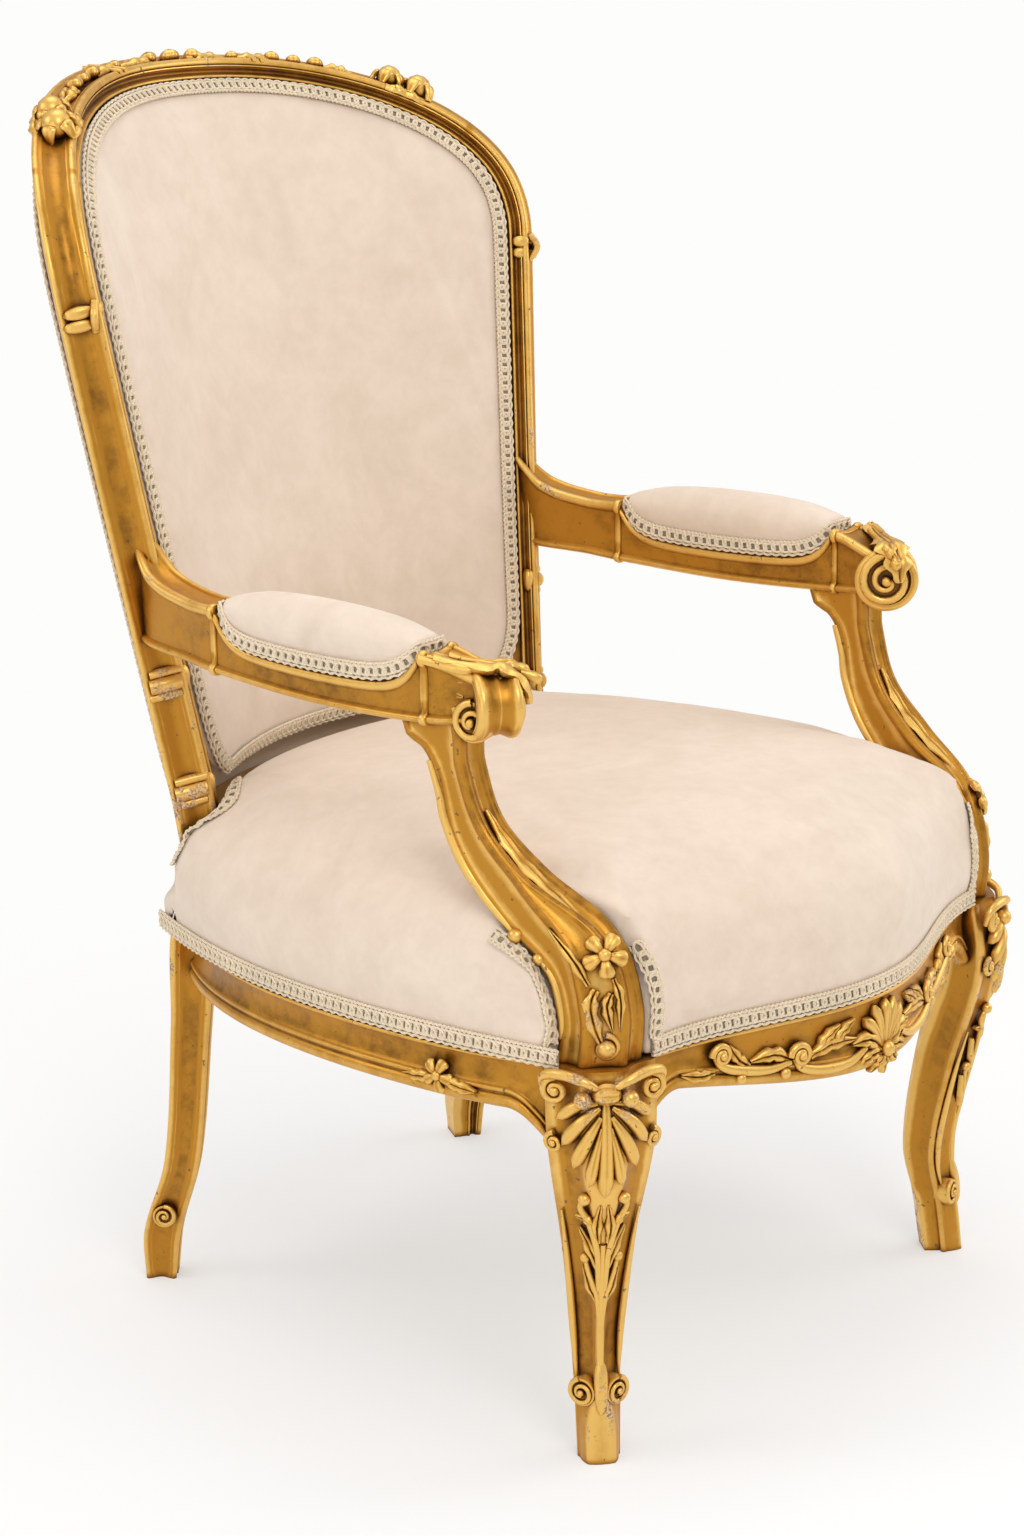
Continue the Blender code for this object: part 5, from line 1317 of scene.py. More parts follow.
def rail_carving(bm):
    """Shell in the middle of the front rail, with leafy scrolls running out to the legs."""
    leaf_on(bm, on_rail, [(0.0, 0.286), (0.0, 0.308), (0.0, 0.329)], 0.0080, 0.0095, 1, True)
    leaf_on(bm, on_rail, [(0.0, 0.288), (0.0, 0.278), (0.0, 0.265)], 0.0075, 0.0080)
    for way in (-1, 1):
        for tip_x, tip_z in ((14, 327), (26, 318)):
            ray = [(way * 0.003, 0.287), (way * tip_x / 2000, 0.304), (way * tip_x / 1000, tip_z / 1000)]
            leaf_on(bm, on_rail, ray, 0.0075, 0.0085, 1, True)
        leaves_on(bm, on_rail, way, (
            (((6, 289), (22, 300), (41, 300)), 9.0), (((6, 286), (20, 286), (34, 279)), 8.0),
            (((4, 284), (11, 277), (19, 271)), 6.0)), 0.0090)
        for line, cord, eye, radius, core in (
                (((26, 294), (45, 287), (70, 287), (92, 293), (100, 303)), 0.0048,
                 (94, 304), 0.0066, 0.0034),
                (((103, 300), (122, 298), (145, 302), (164, 309), (172, 319)), 0.0046,
                 (166, 319), 0.0060, 0.0032)):
            scroll_line(bm, [on_rail(way * x / 1000, z / 1000, 0.003)[0] for x, z in line], cord)
            spot, face = on_rail(way * eye[0] / 1000, eye[1] / 1000, 0.003)
            volute(bm, spot, face, Vector((way, 0.0, 0.0)), radius, core, 1.4, way)
        leaves_on(bm, on_rail, way, (
            (((104, 303), (118, 309), (138, 307)), 8.0), (((140, 304), (150, 312), (158, 325)), 7.0),
            (((84, 300), (64, 306), (36, 304)), 8.0), (((76, 303), (68, 313), (54, 320)), 6.5),
            (((62, 305), (52, 314), (38, 321)), 6.5), (((172, 306), (186, 306), (204, 311)), 7.0)), 0.0066)
        for x, z in ((0.148, 0.296), (0.108, 0.292)):
            ball(bm, on_rail(way * x, z, 0.003)[0], 0.0052)
    ball(bm, on_rail(0.0, 0.287, 0.005)[0], 0.0070)


def side_rail_carving(bm):
    outward = Vector((1.0, 0.0, 0.0))
    middle = Vector((side_line(-0.180) - 0.003, -0.180, 0.309))
    flower(bm, middle, outward, 0.0135)
    for way in (-1, 1):
        run = ((0.006, -0.002), (0.020, -0.005), (0.036, -0.006))
        points = [middle + Vector((0.001, way * a, b)) for a, b in run]
        leaf(bm, points, outward, 0.0066, 0.0050)


def on_crest(x, share=0.5, lift=0.0):
    """Place on the outer side of the crest or shoulder at a share of its depth, with its axes."""
    angle = math.asin(min((abs(x) / SHOULDER_X) ** (SHOULDER_POWER / 2), 1.0))
    spot, out, rear = arch_station(math.copysign(angle, x))
    return spot + out * (FRAME_CANT * share - 0.0045 + lift) + rear * FRAME_DEPTH * share, out, rear


def crest_leaf(bm, xs, wide, high, share=0.5):
    places = [on_crest(x, share) for x in xs]
    leaf(bm, [place[0] for place in places], [place[1] for place in places], wide, high)


def crest_carving(bm):
    """Buds and leaves along the top, tied with a ribbon either side of the middle."""
    for x, radius, tall in ((-0.021, 8.0, 11), (0.004, 9.5, 12), (0.028, 8.0, 11)):
        spot, out, _ = on_crest(x)
        bud(bm, spot, spot + out * tall / 1000 + Vector((x * 0.12, 0.0, 0.0)), radius / 1000)
    for way in (-1, 1):
        for a, b, wide in ((0.020, 0.062, 11), (0.106, 0.068, 10), (0.150, 0.174, 10)):
            crest_leaf(bm, [way * x for x in span(a, b, 3)], wide / 1000, 0.0095)
        for x, radius, tall in ((0.070, 6.5, 9), (0.107, 8.0, 11), (0.126, 7.5, 10), (0.144, 8.5, 11)):
            spot, out, _ = on_crest(way * x)
            bud(bm, spot, spot + out * tall / 1000, radius / 1000)
        for x in (0.082, 0.090):
            line = [on_crest(way * x, share, 0.004)[0] for share in (-0.02, 0.10, 0.3, 0.5, 0.7, 0.9, 1.0)]
            scroll_line(bm, line, 0.0028, 0.8)


def shoulder_carving(bm):
    """Two buds in leaf cups on the corner of the back."""
    for x, share, radius in ((0.2000, 0.60, 0.0118), (0.2185, 0.40, 0.0130)):
        spot, out, rear = on_crest(x, share, 0.003)
        ball(bm, spot + out * radius * 0.5, radius)
        run = rear.cross(out)
        for angle in span(0.4, math.tau + 0.4, 5)[:-1]:
            way = run * math.cos(angle) + rear * math.sin(angle)
            base = spot + way * radius * 1.15 - out * 0.003
            tip = base + out * radius * 1.1 - way * radius * 0.35
            leaf(bm, [base + way * 0.002, base + out * radius * 0.7, tip], way, 0.0085, 0.0038, 1, True)
    for share in (0.10, 0.92):
        crest_leaf(bm, span(0.196, 0.226, 3), 0.0085, 0.0080, share)


def stile_carving(bm):
    """Tie of buds below the shoulder; rolls and a bud below the arm and again above the seat."""
    spot, out, rear = flank_station(0.866)
    line = [(0.003 - FRAME_LIP, 0.0030), (-0.010, 0.0010), (-0.002, 0.0000), (0.0020, 0.006), (0.0040, 0.014),
            (0.0066, 0.023), (0.0092, FRAME_DEPTH - 0.003)]
    strap_line = [spot + out * u + rear * v for u, v in line]
    for start, end in ((strap_line[0], strap_line[3]), (strap_line[3], strap_line[-1])):
        for lift in (-0.0052, 0.0052):
            bud(bm, start + UP * lift, end + UP * lift, 0.0064, 4)
    knot = ((-0.012, 0.0), (0.0, 0.007), (0.012, 0.0))
    scroll_line(bm, [strap_line[3] + UP * a + out * b for a, b in knot], 0.0034, 0.9)
    for z in (0.562, 0.469):
        spot, out, rear = flank_station(z)
        middle = spot + out * (FRAME_CANT * 0.5 - 0.0030) + rear * FRAME_DEPTH * 0.5
        across = (rear * FRAME_DEPTH + out * FRAME_CANT).normalized()
        for shift, cord in ((-0.0100, 0.0042), (0.0, 0.0074), (0.0100, 0.0042)):
            tube(bm, [middle + UP * shift + across * a * FRAME_DEPTH for a in span(-0.40, 0.40, 4)], cord, 12)
        face = spot - out * FRAME_LIP * 0.5 + rear * 0.004
        bud(bm, face + UP * 0.011, face - UP * 0.011, 0.0066, 4)


def rear_foot_carving(bm):
    leg_out = upright_axes()[0]
    middle = Vector((0.2195, 0.2105, 0.066)) + leg_out * 0.0150
    boss(bm, middle, leg_out, 0.0105, 0.008)
    volute(bm, middle, leg_out, UP, 0.0076, 0.0022, 1.4)


def build_carving():
    carved("crest_carving", crest_carving)
    carved("front_rail_carving", rail_carving)
    for side, word in SIDES:
        for label, work in (
                ("knee", knee_carving), ("foot", foot_carving), ("support", support_carving),
                ("arm", arm_carving), ("side_rail", side_rail_carving), ("shoulder", shoulder_carving),
                ("stile", stile_carving), ("rear_foot", rear_foot_carving)):
            carved("%s_carving_%s" % (label, word), work, side)


# Upholstery

def drawn(outline, centre, inset, scale):
    points = grow(outline, -inset)
    return [(centre[0] + (x - centre[0]) * scale, centre[1] + (y - centre[1]) * scale) for x, y in points]


def drawn_to(outline, centre, inset, scale):
    """Move each point straight towards the centre."""
    points = []
    for x, y in outline:
        reach = Vector((x - centre[0], y - centre[1]))
        reach *= scale * (1 - inset / reach.length)
        points.append((centre[0] + reach.x, centre[1] + reach.y))
    return points


def seat_segments(fine=3):
    """Plan points of the four edges of the seat, in order round it."""
    leg_x, leg_y = leg_centre(HEAD_SET)
    post_x, post_y = POST
    front = [(x, front_line(x)) for x in span(-leg_x, leg_x, 12 * fine)]
    right = [(side_line(y), y) for y in span(leg_y + 0.012, post_y + 0.030, 10 * fine)]
    rear = [(x, rear_line(x)) for x in span(post_x - 0.004, -post_x + 0.004, 8 * fine)]
    return front, right, rear, [(-x, y) for x, y in reversed(right)]


def seat_lift(height):
    """Height 0 is the rail, 1 the soft edge, 2 the crown."""
    low = RAIL_TOP + FIT
    if height > 1.0:
        return SEAT_EDGE_Z + (SEAT_CROWN_Z - SEAT_EDGE_Z) * (height - 1.0)
    return low + (SEAT_EDGE_Z - low) * height


def seat_rings():
    gimp = (GIMP_WIDTH + 0.002) / (SEAT_EDGE_Z - RAIL_TOP)
    rows = [(0.0, 0.0, 1.0, 0.0), (1.0, 0.0, 1.0, gimp), (2.0, -SEAT_BULGE, 1.0, gimp + 0.16),
            (3.0, -SEAT_BULGE * 1.4, 1.0, 0.68), (4.0, 0.005, 1.0, 1.00), (5.0, 0.025, 1.0, 1.36),
            (6.0, 0.027, 0.86, 1.68), (7.0, 0.027, 0.50, 1.93), (8.0, 0.0, 0.0, 2.0)]
    outline = [point for segment in seat_segments() for point in segment]
    foot = grow(outline, -RAIL_STEP)
    rings = []
    for _, inset, scale, height in smooth(rows, 4)[:-1]:
        points = drawn_to(foot, SEAT_MIDDLE, inset, max(scale, 0.0))
        rings.append([Vector((x, y, seat_lift(height))) for x, y in points])
    return rings + [[Vector((*SEAT_MIDDLE, SEAT_CROWN_Z))] * len(outline)]


def seat_rear():
    """The space of the back between the uprights, which the rear of the seat stays clear of."""
    wide, inner = POST[0] + FRAME_WIDTH * 0.30, POST[0] - FRAME_WIDTH * 0.35
    low, high = LOWER_RAIL_Z - SEAT_UNDER, SEAT_CROWN_Z + 0.02
    bend = LOWER_RAIL_Z + FRAME_WIDTH
    far = REAR_FACE + FRAME_DEPTH
    rings = []
    for x in [-wide] + span(-inner, inner, 20) + [wide]:
        at = min(abs(x), inner)
        line = [(back_point(at, low).y - SEAT_REAR_CLEAR, low), (far, low), (far, high),
                (back_point(at, high).y - SEAT_REAR_CLEAR - BACK_CROWN * 0.7, high),
                (back_point(at, bend).y - SEAT_REAR_CLEAR, bend)]
        rings.append([Vector((x, y, z)) for y, z in line])
    return rings


def support_relief():
    """Space of a +X support and of everything ahead of it and outside it, which the seat stays clear of."""
    rings = []
    for spot, out, front, width, depth in support_places(4):
        low_a, low_b = -width / 2 - SEAT_CLEAR, -depth / 2 - SEAT_CLEAR
        corners = ((low_a, low_b), (0.07, low_b), (0.07, 0.07), (low_a, 0.07))
        rings.append([spot + out * a + front * b for a, b in corners])
    rings[0] = [p - UP * 0.01 for p in rings[0]]
    return rings


def post_relief():
    """Space behind the upper part of a +X upright, which the seat stays clear of."""
    rings = []
    for ring in upright_rings(SEAT_CLEAR, 4):
        if SEAT_EDGE_Z - 0.050 < ring[0].z < SEAT_CROWN_Z + 0.04:
            _, ahead, outer, inner = ring
            back, out = (outer - ahead).normalized(), (outer - inner).normalized()
            rings.append([inner, outer, outer + out * 0.03 + back * 0.06, inner + back * 0.06])
    rings[0] = rings[0][:2] + [p - UP * 0.05 for p in rings[0][2:]]
    return rings


def corner_relief(side):
    """Block that keeps the seat off the outer corner of an arm support."""
    x, y = leg_centre(HEAD_SET + SUPPORT_FOOT_SIZE)
    inner_x, inner_y = leg_centre(HEAD_SET)
    along = Vector((side * (x - inner_x), y - inner_y, 0.0)).normalized()
    across = UP.cross(along)
    half = SUPPORT_FOOT_SIZE
    middle = Vector((side * x, y, 0.0))
    corners = ((-1, -1), (1, -1), (1, 1), (-1, 1))
    return [[middle + along * a * half + across * b * half / 2 + UP * z for a, b in corners]
            for z in (RAIL_BOTTOM, 2 * SEAT_EDGE_Z - RAIL_BOTTOM)]


def scratch(name, bm):
    """Object for work in progress, removed before the end."""
    bmesh.ops.recalc_face_normals(bm, faces=bm.faces)
    mesh = bpy.data.meshes.new(name)
    bm.to_mesh(mesh)
    bm.free()
    made = bpy.data.objects.new(name, mesh)
    bpy.context.scene.collection.objects.link(made)
    return made


def baked(item):
    """Mesh of an object with its modifiers applied; the object itself goes."""
    depsgraph = bpy.context.evaluated_depsgraph_get()
    mesh = bpy.data.meshes.new_from_object(item.evaluated_get(depsgraph), depsgraph=depsgraph)
    bpy.data.objects.remove(item, do_unlink=True)
    return mesh


def remeshed(item, voxel):
    step = item.modifiers.new("remesh", "REMESH")
    step.mode = "VOXEL"
    step.voxel_size = voxel
    return baked(item)


def points_of(mesh):
    spots = np.empty(len(mesh.vertices) * 3)
    mesh.vertices.foreach_get("co", spots)
    return spots.reshape(-1, 3)


def swollen(mesh, held, cap):
    """Blow the cover up a little with cloth; held gives the points that stay, cap the furthest move."""
    rest = points_of(mesh)
    item = bpy.data.objects.new("filling", mesh)
    bpy.context.scene.collection.objects.link(item)
    group = item.vertex_groups.new(name="held")
    group.add([int(i) for i in np.nonzero(held(rest))[0]], 1.0, "REPLACE")
    cloth = item.modifiers.new("cloth", "CLOTH")
    settings = cloth.settings
    settings.quality = 4
    settings.mass = 0.3
    settings.tension_stiffness = 12.0
    settings.compression_stiffness = 12.0
    settings.bending_stiffness = 0.6
    settings.use_pressure = True
    settings.uniform_pressure_force = sizes().pressure
    settings.effector_weights.gravity = 0.0
    settings.vertex_group_mass = "held"
    cloth.collision_settings.use_collision = False
    cloth.point_cache.frame_start = 1
    cloth.point_cache.frame_end = CLOTH_FRAMES
    scene = bpy.context.scene
    for number in range(1, CLOTH_FRAMES + 1):
        scene.frame_set(number)
    made = baked(item)
    scene.frame_set(1)
    move = points_of(made) - rest
    far = np.linalg.norm(move, axis=1, keepdims=True)
    move *= np.minimum(1.0, cap / np.maximum(far, 1e-9))
    made.vertices.foreach_set("co", (rest + move).ravel())
    made.update()
    return made


def cushion(name, mesh, stands_for):
    piece = settle_mesh(name, mesh, look_of("velvet"), "cream_velvet", stands_for, sharp=0.0)
    ease = piece.modifiers.new("ease", "SMOOTH")
    ease.factor = 0.5
    ease.iterations = 6
    finer = piece.modifiers.new("finer", "SUBSURF")
    finer.levels = 1
    finer.render_levels = 1
    return piece


def build_seat_cushion():
    dome = scratch("seat_dome", skinned(seat_rings()))
    cuts = []
    for side, _ in SIDES:
        cuts += [mirror(upright_rings(SEAT_CLEAR, 4), side), mirror(post_relief(), side),
                 mirror(support_relief(), side), corner_relief(side)]
    tools = [scratch("seat_tool", skinned(rings)) for rings in cuts + [seat_rear()]]
    for tool in tools:
        step = dome.modifiers.new("cut", "BOOLEAN")
        step.operation = "DIFFERENCE"
        step.solver = "EXACT"
        step.object = tool
    mesh = remeshed(dome, SEAT_VOXEL)
    for tool in tools:
        bpy.data.objects.remove(tool, do_unlink=True)
    hem = RAIL_TOP + GIMP_WIDTH + 0.004
    mesh = swollen(mesh, lambda p: (p[:, 2] < hem) | (p[:, 1] > 0.16), sizes().swell)
    cushion("seat_cushion", mesh, ["seat_cover", "seat_stuffing"])


def back_outline(inset, fine=4, raised=0.0):
    """Panel outline at a distance inside the frame's outer edge, with rounded lower corners."""
    half = []
    for angle in span(0.0, math.pi / 2, 14 * fine):
        spot, out, _ = arch_station(angle)
        half.append(spot - out * inset)
    foot = LOWER_RAIL_Z + inset * math.cos(BACK_RAKE) + raised
    for z in span(SHOULDER_Z, LOWER_RAIL_Z, 9 * fine)[1:]:
        if z > foot + BACK_CORNER * 1.3:
            spot, out, _ = flank_station(z)
            half.append(spot - out * inset)
    points = [(p.x, p.z) for p in half]
    last_x, last_z = points[-1]
    rise = last_z - foot
    slant = FLANK_SLOPE * rise
    for angle in span(0.0, math.pi / 2, 3 * fine)[1:]:
        drawn_in = slant * math.sin(angle) + (BACK_CORNER - slant) * (1 - math.cos(angle))
        points.append((last_x - drawn_in, last_z - rise * math.sin(angle)))
    side_x = points[-1][0]
    points += [(side_x * share, foot) for share in span(1.0, 0.0, 5 * fine)[1:-1]]
    return points + [(0.0, foot)] + [(-x, z) for x, z in reversed(points[1:])]


BACK_MIDDLE = (0.0, (CREST_TOP + LOWER_RAIL_Z) / 2)
BACK_FACE = BACK_PLAY * 2 + COVER * 1.5 - RABBET
BACK_BAND = 0.0138
BACK_FOOT_RISE = 0.036
BACK_BAND_RISE = 0.0080


def build_back_cushion():
    outline = back_outline(FRAME_LIP + 0.0018, raised=BACK_FOOT_RISE)
    floor = 0.0004 - RABBET
    band = BACK_BAND
    brim = BACK_FACE + BACK_BAND_RISE
    top = [(0.0, 0.0, 1.0, BACK_FACE), (1.0, band, 1.0, brim), (2.0, band, 0.965, brim + 0.0042),
           (3.0, band, 0.90, BACK_CROWN * 0.68), (4.0, band, 0.78, BACK_CROWN * 0.86),
           (5.0, band, 0.50, BACK_CROWN * 0.97), (6.0, band, 0.22, BACK_CROWN)]
    rows = [(0.0, s, floor) for s in (0.01, 0.3, 0.6, 0.85)] + [(0.0, 1.0, floor)]
    rows += [row[1:] for row in smooth(top, 4)]
    rings = [[back_place(*BACK_MIDDLE, floor)] * len(outline)]
    for inset, scale, height in rows:
        rings.append([back_place(x, z, height) for x, z in drawn(outline, BACK_MIDDLE, inset, scale)])
    rings.append([back_place(*BACK_MIDDLE, BACK_CROWN)] * len(outline))
    mesh = remeshed(scratch("back_form", skinned(rings)), BACK_VOXEL)

    def height(p):
        flat = BACK_Y + (p[:, 2] - BACK_Z) * math.tan(BACK_RAKE) - HOLLOW_RATE * p[:, 0] ** 2
        return (flat - p[:, 1]) * math.cos(BACK_RAKE)

    mesh = swollen(mesh, lambda p: height(p) < brim, sizes().swell)
    cushion("back_cushion", mesh, ["back_cover", "back_stuffing", "back_canvas"])


def back_sheet(inset, low, high, bulge):
    """A cloth across the back opening, in upright strips that follow the hollow."""
    outline = back_outline(inset)
    right = outline[:len(outline) // 2 + 1]
    wide = max(x for x, z in right)
    peak = [x for x, z in right].index(wide)

    def level(x, run):
        for (ax, az), (bx, bz) in zip(run, run[1:]):
            if min(ax, bx) <= x <= max(ax, bx) and ax != bx:
                return az + (bz - az) * (x - ax) / (bx - ax)
        return run[-1][1]

    strips = 40
    layers = []
    for face in (low, high):
        rows = []
        for i in range(-strips, strips + 1):
            x = wide * 0.992 * math.sin(math.pi / 2 * i / strips)
            top, foot = level(abs(x), right[:peak + 1]), level(abs(x), right[peak:])
            full = bulge * math.cos(math.pi / 2 * i / strips)
            rows.append([back_place(x, z, face - full * math.sin(math.pi * k / 60))
                         for k, z in enumerate(span(foot, top, 60))])
        layers.append(rows)
    return [near + far[::-1] for near, far in zip(*layers)]


def build_outside_back():
    behind = -FRAME_DEPTH - 2 * BACK_PLAY
    bm = skinned(back_sheet(FRAME_WIDTH * 0.62, behind - COVER, behind, 0.002))
    piece = settle("outside_back_cloth", bm, look_of("velvet"), "cream_velvet", ["outside_back_cover"])


def pad_stations():
    """Rows of y, half width and fullness along the pad, rounded at both ends."""
    middle = (PAD_REAR_Y + PAD_FRONT_Y) / 2
    reach = (PAD_REAR_Y - PAD_FRONT_Y) / 2 - GIMP_THICK - 3 * FIT
    half = ARM_WIDTH * 0.48
    rows = []
    for angle in span(-math.pi / 2, math.pi / 2, 40):
        share = math.sin(angle)
        rows.append((middle - reach * share, half * (1 - 0.40 * abs(share) ** 8), 1 - 0.30 * abs(share) ** 6))
    return rows


def pad_outline(extra):
    rows = pad_stations()
    right, left = [(y, half) for y, half, _ in rows], [(y, -half) for y, half, _ in reversed(rows)]
    return grow(right + left, extra)


def pad_place(y, across, lift):
    """Lift 0 is the wood, 1 the crown of the pad."""
    side = arm_axes(y)[1]
    middle = (PAD_REAR_Y + PAD_FRONT_Y) / 2
    share = (y - middle) / ((PAD_REAR_Y - PAD_FRONT_Y) / 2)
    low = pad_floor(y) + FIT
    top = PAD_TOP - PAD_FALL * share * share
    return Vector((arm_at(y)[1], y, low + (top - low) * lift)) + side * across


def build_arm_pads():
    bulge = 1 + PAD_BULGE / (ARM_WIDTH / 2)
    keys = [(0, 1.0, 0.0), (1, 1.0, 0.28), (2, bulge, 0.50), (3, bulge * 0.95, 0.72), (4, 0.72, 0.93),
            (5, 0.28, 1.0), (6, 0.0, 1.01)]
    half = [row[1:] for row in smooth(keys, 4)]
    section = half + [(-across, lift) for across, lift in reversed(half[:-1])]
    for side, word in SIDES:
        rings = []
        for y, wide, full in pad_stations():
            rings.append([pad_place(y, across * wide, min(lift, 0.28) + max(lift - 0.28, 0.0) * full)
                          for across, lift in section])
        mesh = remeshed(scratch("pad_form", skinned(mirror(rings, side))), PAD_VOXEL)
        mesh = swollen(mesh, lambda p: p[:, 2] < PAD_SEAT_Z + 0.016, sizes().swell * 0.4)
        cushion("arm_pad_" + word, mesh, ["arm_pad_cover_" + word, "arm_pad_stuffing_" + word])


# Gimp

def evenly(path, step):
    """Points at an even spacing along a path, with the place of each as a fraction of the path's points."""
    lengths = [0.0]
    for a, b in zip(path, path[1:]):
        lengths.append(lengths[-1] + (b - a).length)
    count = max(int(lengths[-1] / step), 2)
    result = []
    k = 0
    for i in range(count + 1):
        at = lengths[-1] * i / count
        while k < len(path) - 2 and lengths[k + 1] < at:
            k += 1
        t = (at - lengths[k]) / max(lengths[k + 1] - lengths[k], 1e-9)
        result.append((k, min(max(t, 0.0), 1.0)))
    return result, lengths[-1]


def braid(bm, path, across, over, width, closed=False):
    """Gimp along a path: a thin ground, a looped cord on it and a twisted cord along each edge.

    across points from the lower edge to the upper one, over away from the work.
    """
    cord = sizes().cord
    if closed:
        path, across, over = [list(run) + [run[0]] for run in (path, across, over)]
    half = width / 2
    low, high = -half * 0.92, half * 0.86
    rows = [[p + a * u + o * w for u, w in ((low, 0.0), (high, 0.0), (high, cord), (low, cord))]
            for p, a, o in zip(path, across, over)]
    if closed:
        skin(bm, rows[:-1], looped=True)
    else:
        skin(bm, rows)
    for face in bm.faces:
        face.material_index = 1
    ground = set(bm.faces)
    spots, length = evenly(path, sizes().loop_pitch / 14)
    loops = max(round(length / sizes().loop_pitch), 1)

    def at(position):
        k, t = position
        return (path[k].lerp(path[k + 1], t), across[k].lerp(across[k + 1], t).normalized(),
                over[k].lerp(over[k + 1], t).normalized())

    swing = half * 0.56
    for phase, level, lean in ((0.0, 2.0, 1.0), (math.pi, 1.5, -1.0)):
        line = []
        for i, position in enumerate(spots):
            turn = math.tau * loops * i / (len(spots) - 1) + phase
            p, a, o = at(position)
            along = a.cross(o) * lean
            line.append(p + a * (math.cos(turn) * swing + half * 0.10) + along * math.sin(turn) * swing * 0.95
                        + o * cord * (level + 0.35 * math.sin(2 * turn)))
        tube(bm, line, cord, 5)
    for edge, pitch in ((-half * 0.86, 3.0), (half * 0.92, 6.0)):
        line = []
        for i, position in enumerate(spots[::2]):
            p, a, o = at(position)
            turn = math.tau * loops * pitch / 3.0 * i / (len(spots[::2]) - 1)
            line.append(p + a * (edge + cord * 0.5 * math.sin(turn))
                        + o * cord * (1.2 + 0.4 * math.cos(turn)))
        tube(bm, line, cord * 1.05, 5)
    for face in bm.faces:
        if face not in ground:
            face.material_index = 0


def gimp_piece(name, runs, stands_for):
    bm = bmesh.new()
    for run in runs:
        part = bmesh.new()
        braid(part, *run)
        mesh = bpy.data.meshes.new("run")
        part.to_mesh(mesh)
        part.free()
        bm.from_mesh(mesh)
        bpy.data.meshes.remove(mesh)
    return settle(name, bm, [look_of("cord"), look_of("ground")], "gimp_braid", stands_for)


def laid_run(seat, rays, aside):
    """Run of gimp laid on the seat where rays meet it; aside points across it, away from the wood."""
    spots, ups = [], []
    for start, way in rays:
        spot, normal, _, _ = seat.ray_cast(start, way)
        if spot is not None and (not spots or (spot - spots[-1]).length < 0.03):
            spots.append(spot)
            ups.append(normal)
    path = spots
    for _ in range(3):
        path = path[:1] + [(a + b * 2 + c) / 4 for a, b, c in zip(path, path[1:], path[2:])] + path[-1:]
    across = []
    for (run, _, _), up in zip(frames_along(path), ups):
        flat = run.cross(up).normalized()
        across.append(flat if flat.dot(aside) > 0 else -flat)
    return [p + n * 0.0004 for p, n in zip(path, ups)], across, ups, NARROW_GIMP


def edge_runs(side):
    """Runs of gimp where the seat meets an arm support, either side of it, and an upright."""
    seat = BVHTree.FromObject(bpy.data.objects["seat_cushion"], bpy.context.evaluated_depsgraph_get())
    ahead, outer, rear = [], [], []
    for z in span(RAIL_TOP + 0.016, SEAT_EDGE_Z - 0.006, 14):
        spot = on_support(z, -1.0, 0.0)[0]
        ahead.append((Vector((side * (spot.x - 0.0075), -0.6, z)), Vector((0.0, 1.0, 0.0))))
    for z in span(RAIL_TOP + 0.016, SEAT_EDGE_Z + 0.004, 14):
        spot = on_support(z, 1.0, -1.0)[0]
        outer.append((Vector((side * (spot.x + 0.0060), -0.6, z)), Vector((0.0, 1.0, 0.0))))
    spot, out, back = flank_station(RAIL_TOP + 0.09)
    line = [(0.011, share * POST_SIZE) for share in span(1.0, 0.1, 8)] + [(0.010, -0.002), (0.005, -0.007)]
    line += [(-share * FRAME_WIDTH, -0.009) for share in span(0.05, 0.95, 8)]
    for u, v in line:
        place = spot + out * u + back * v
        rear.append((Vector((side * place.x, place.y, 0.6)), -UP))
    inward = Vector((-side, 0.0, 0.0))
    return [laid_run(seat, ahead, inward), laid_run(seat, outer, -inward),
            laid_run(seat, rear, Vector((side, -1.0, 0.0)))]


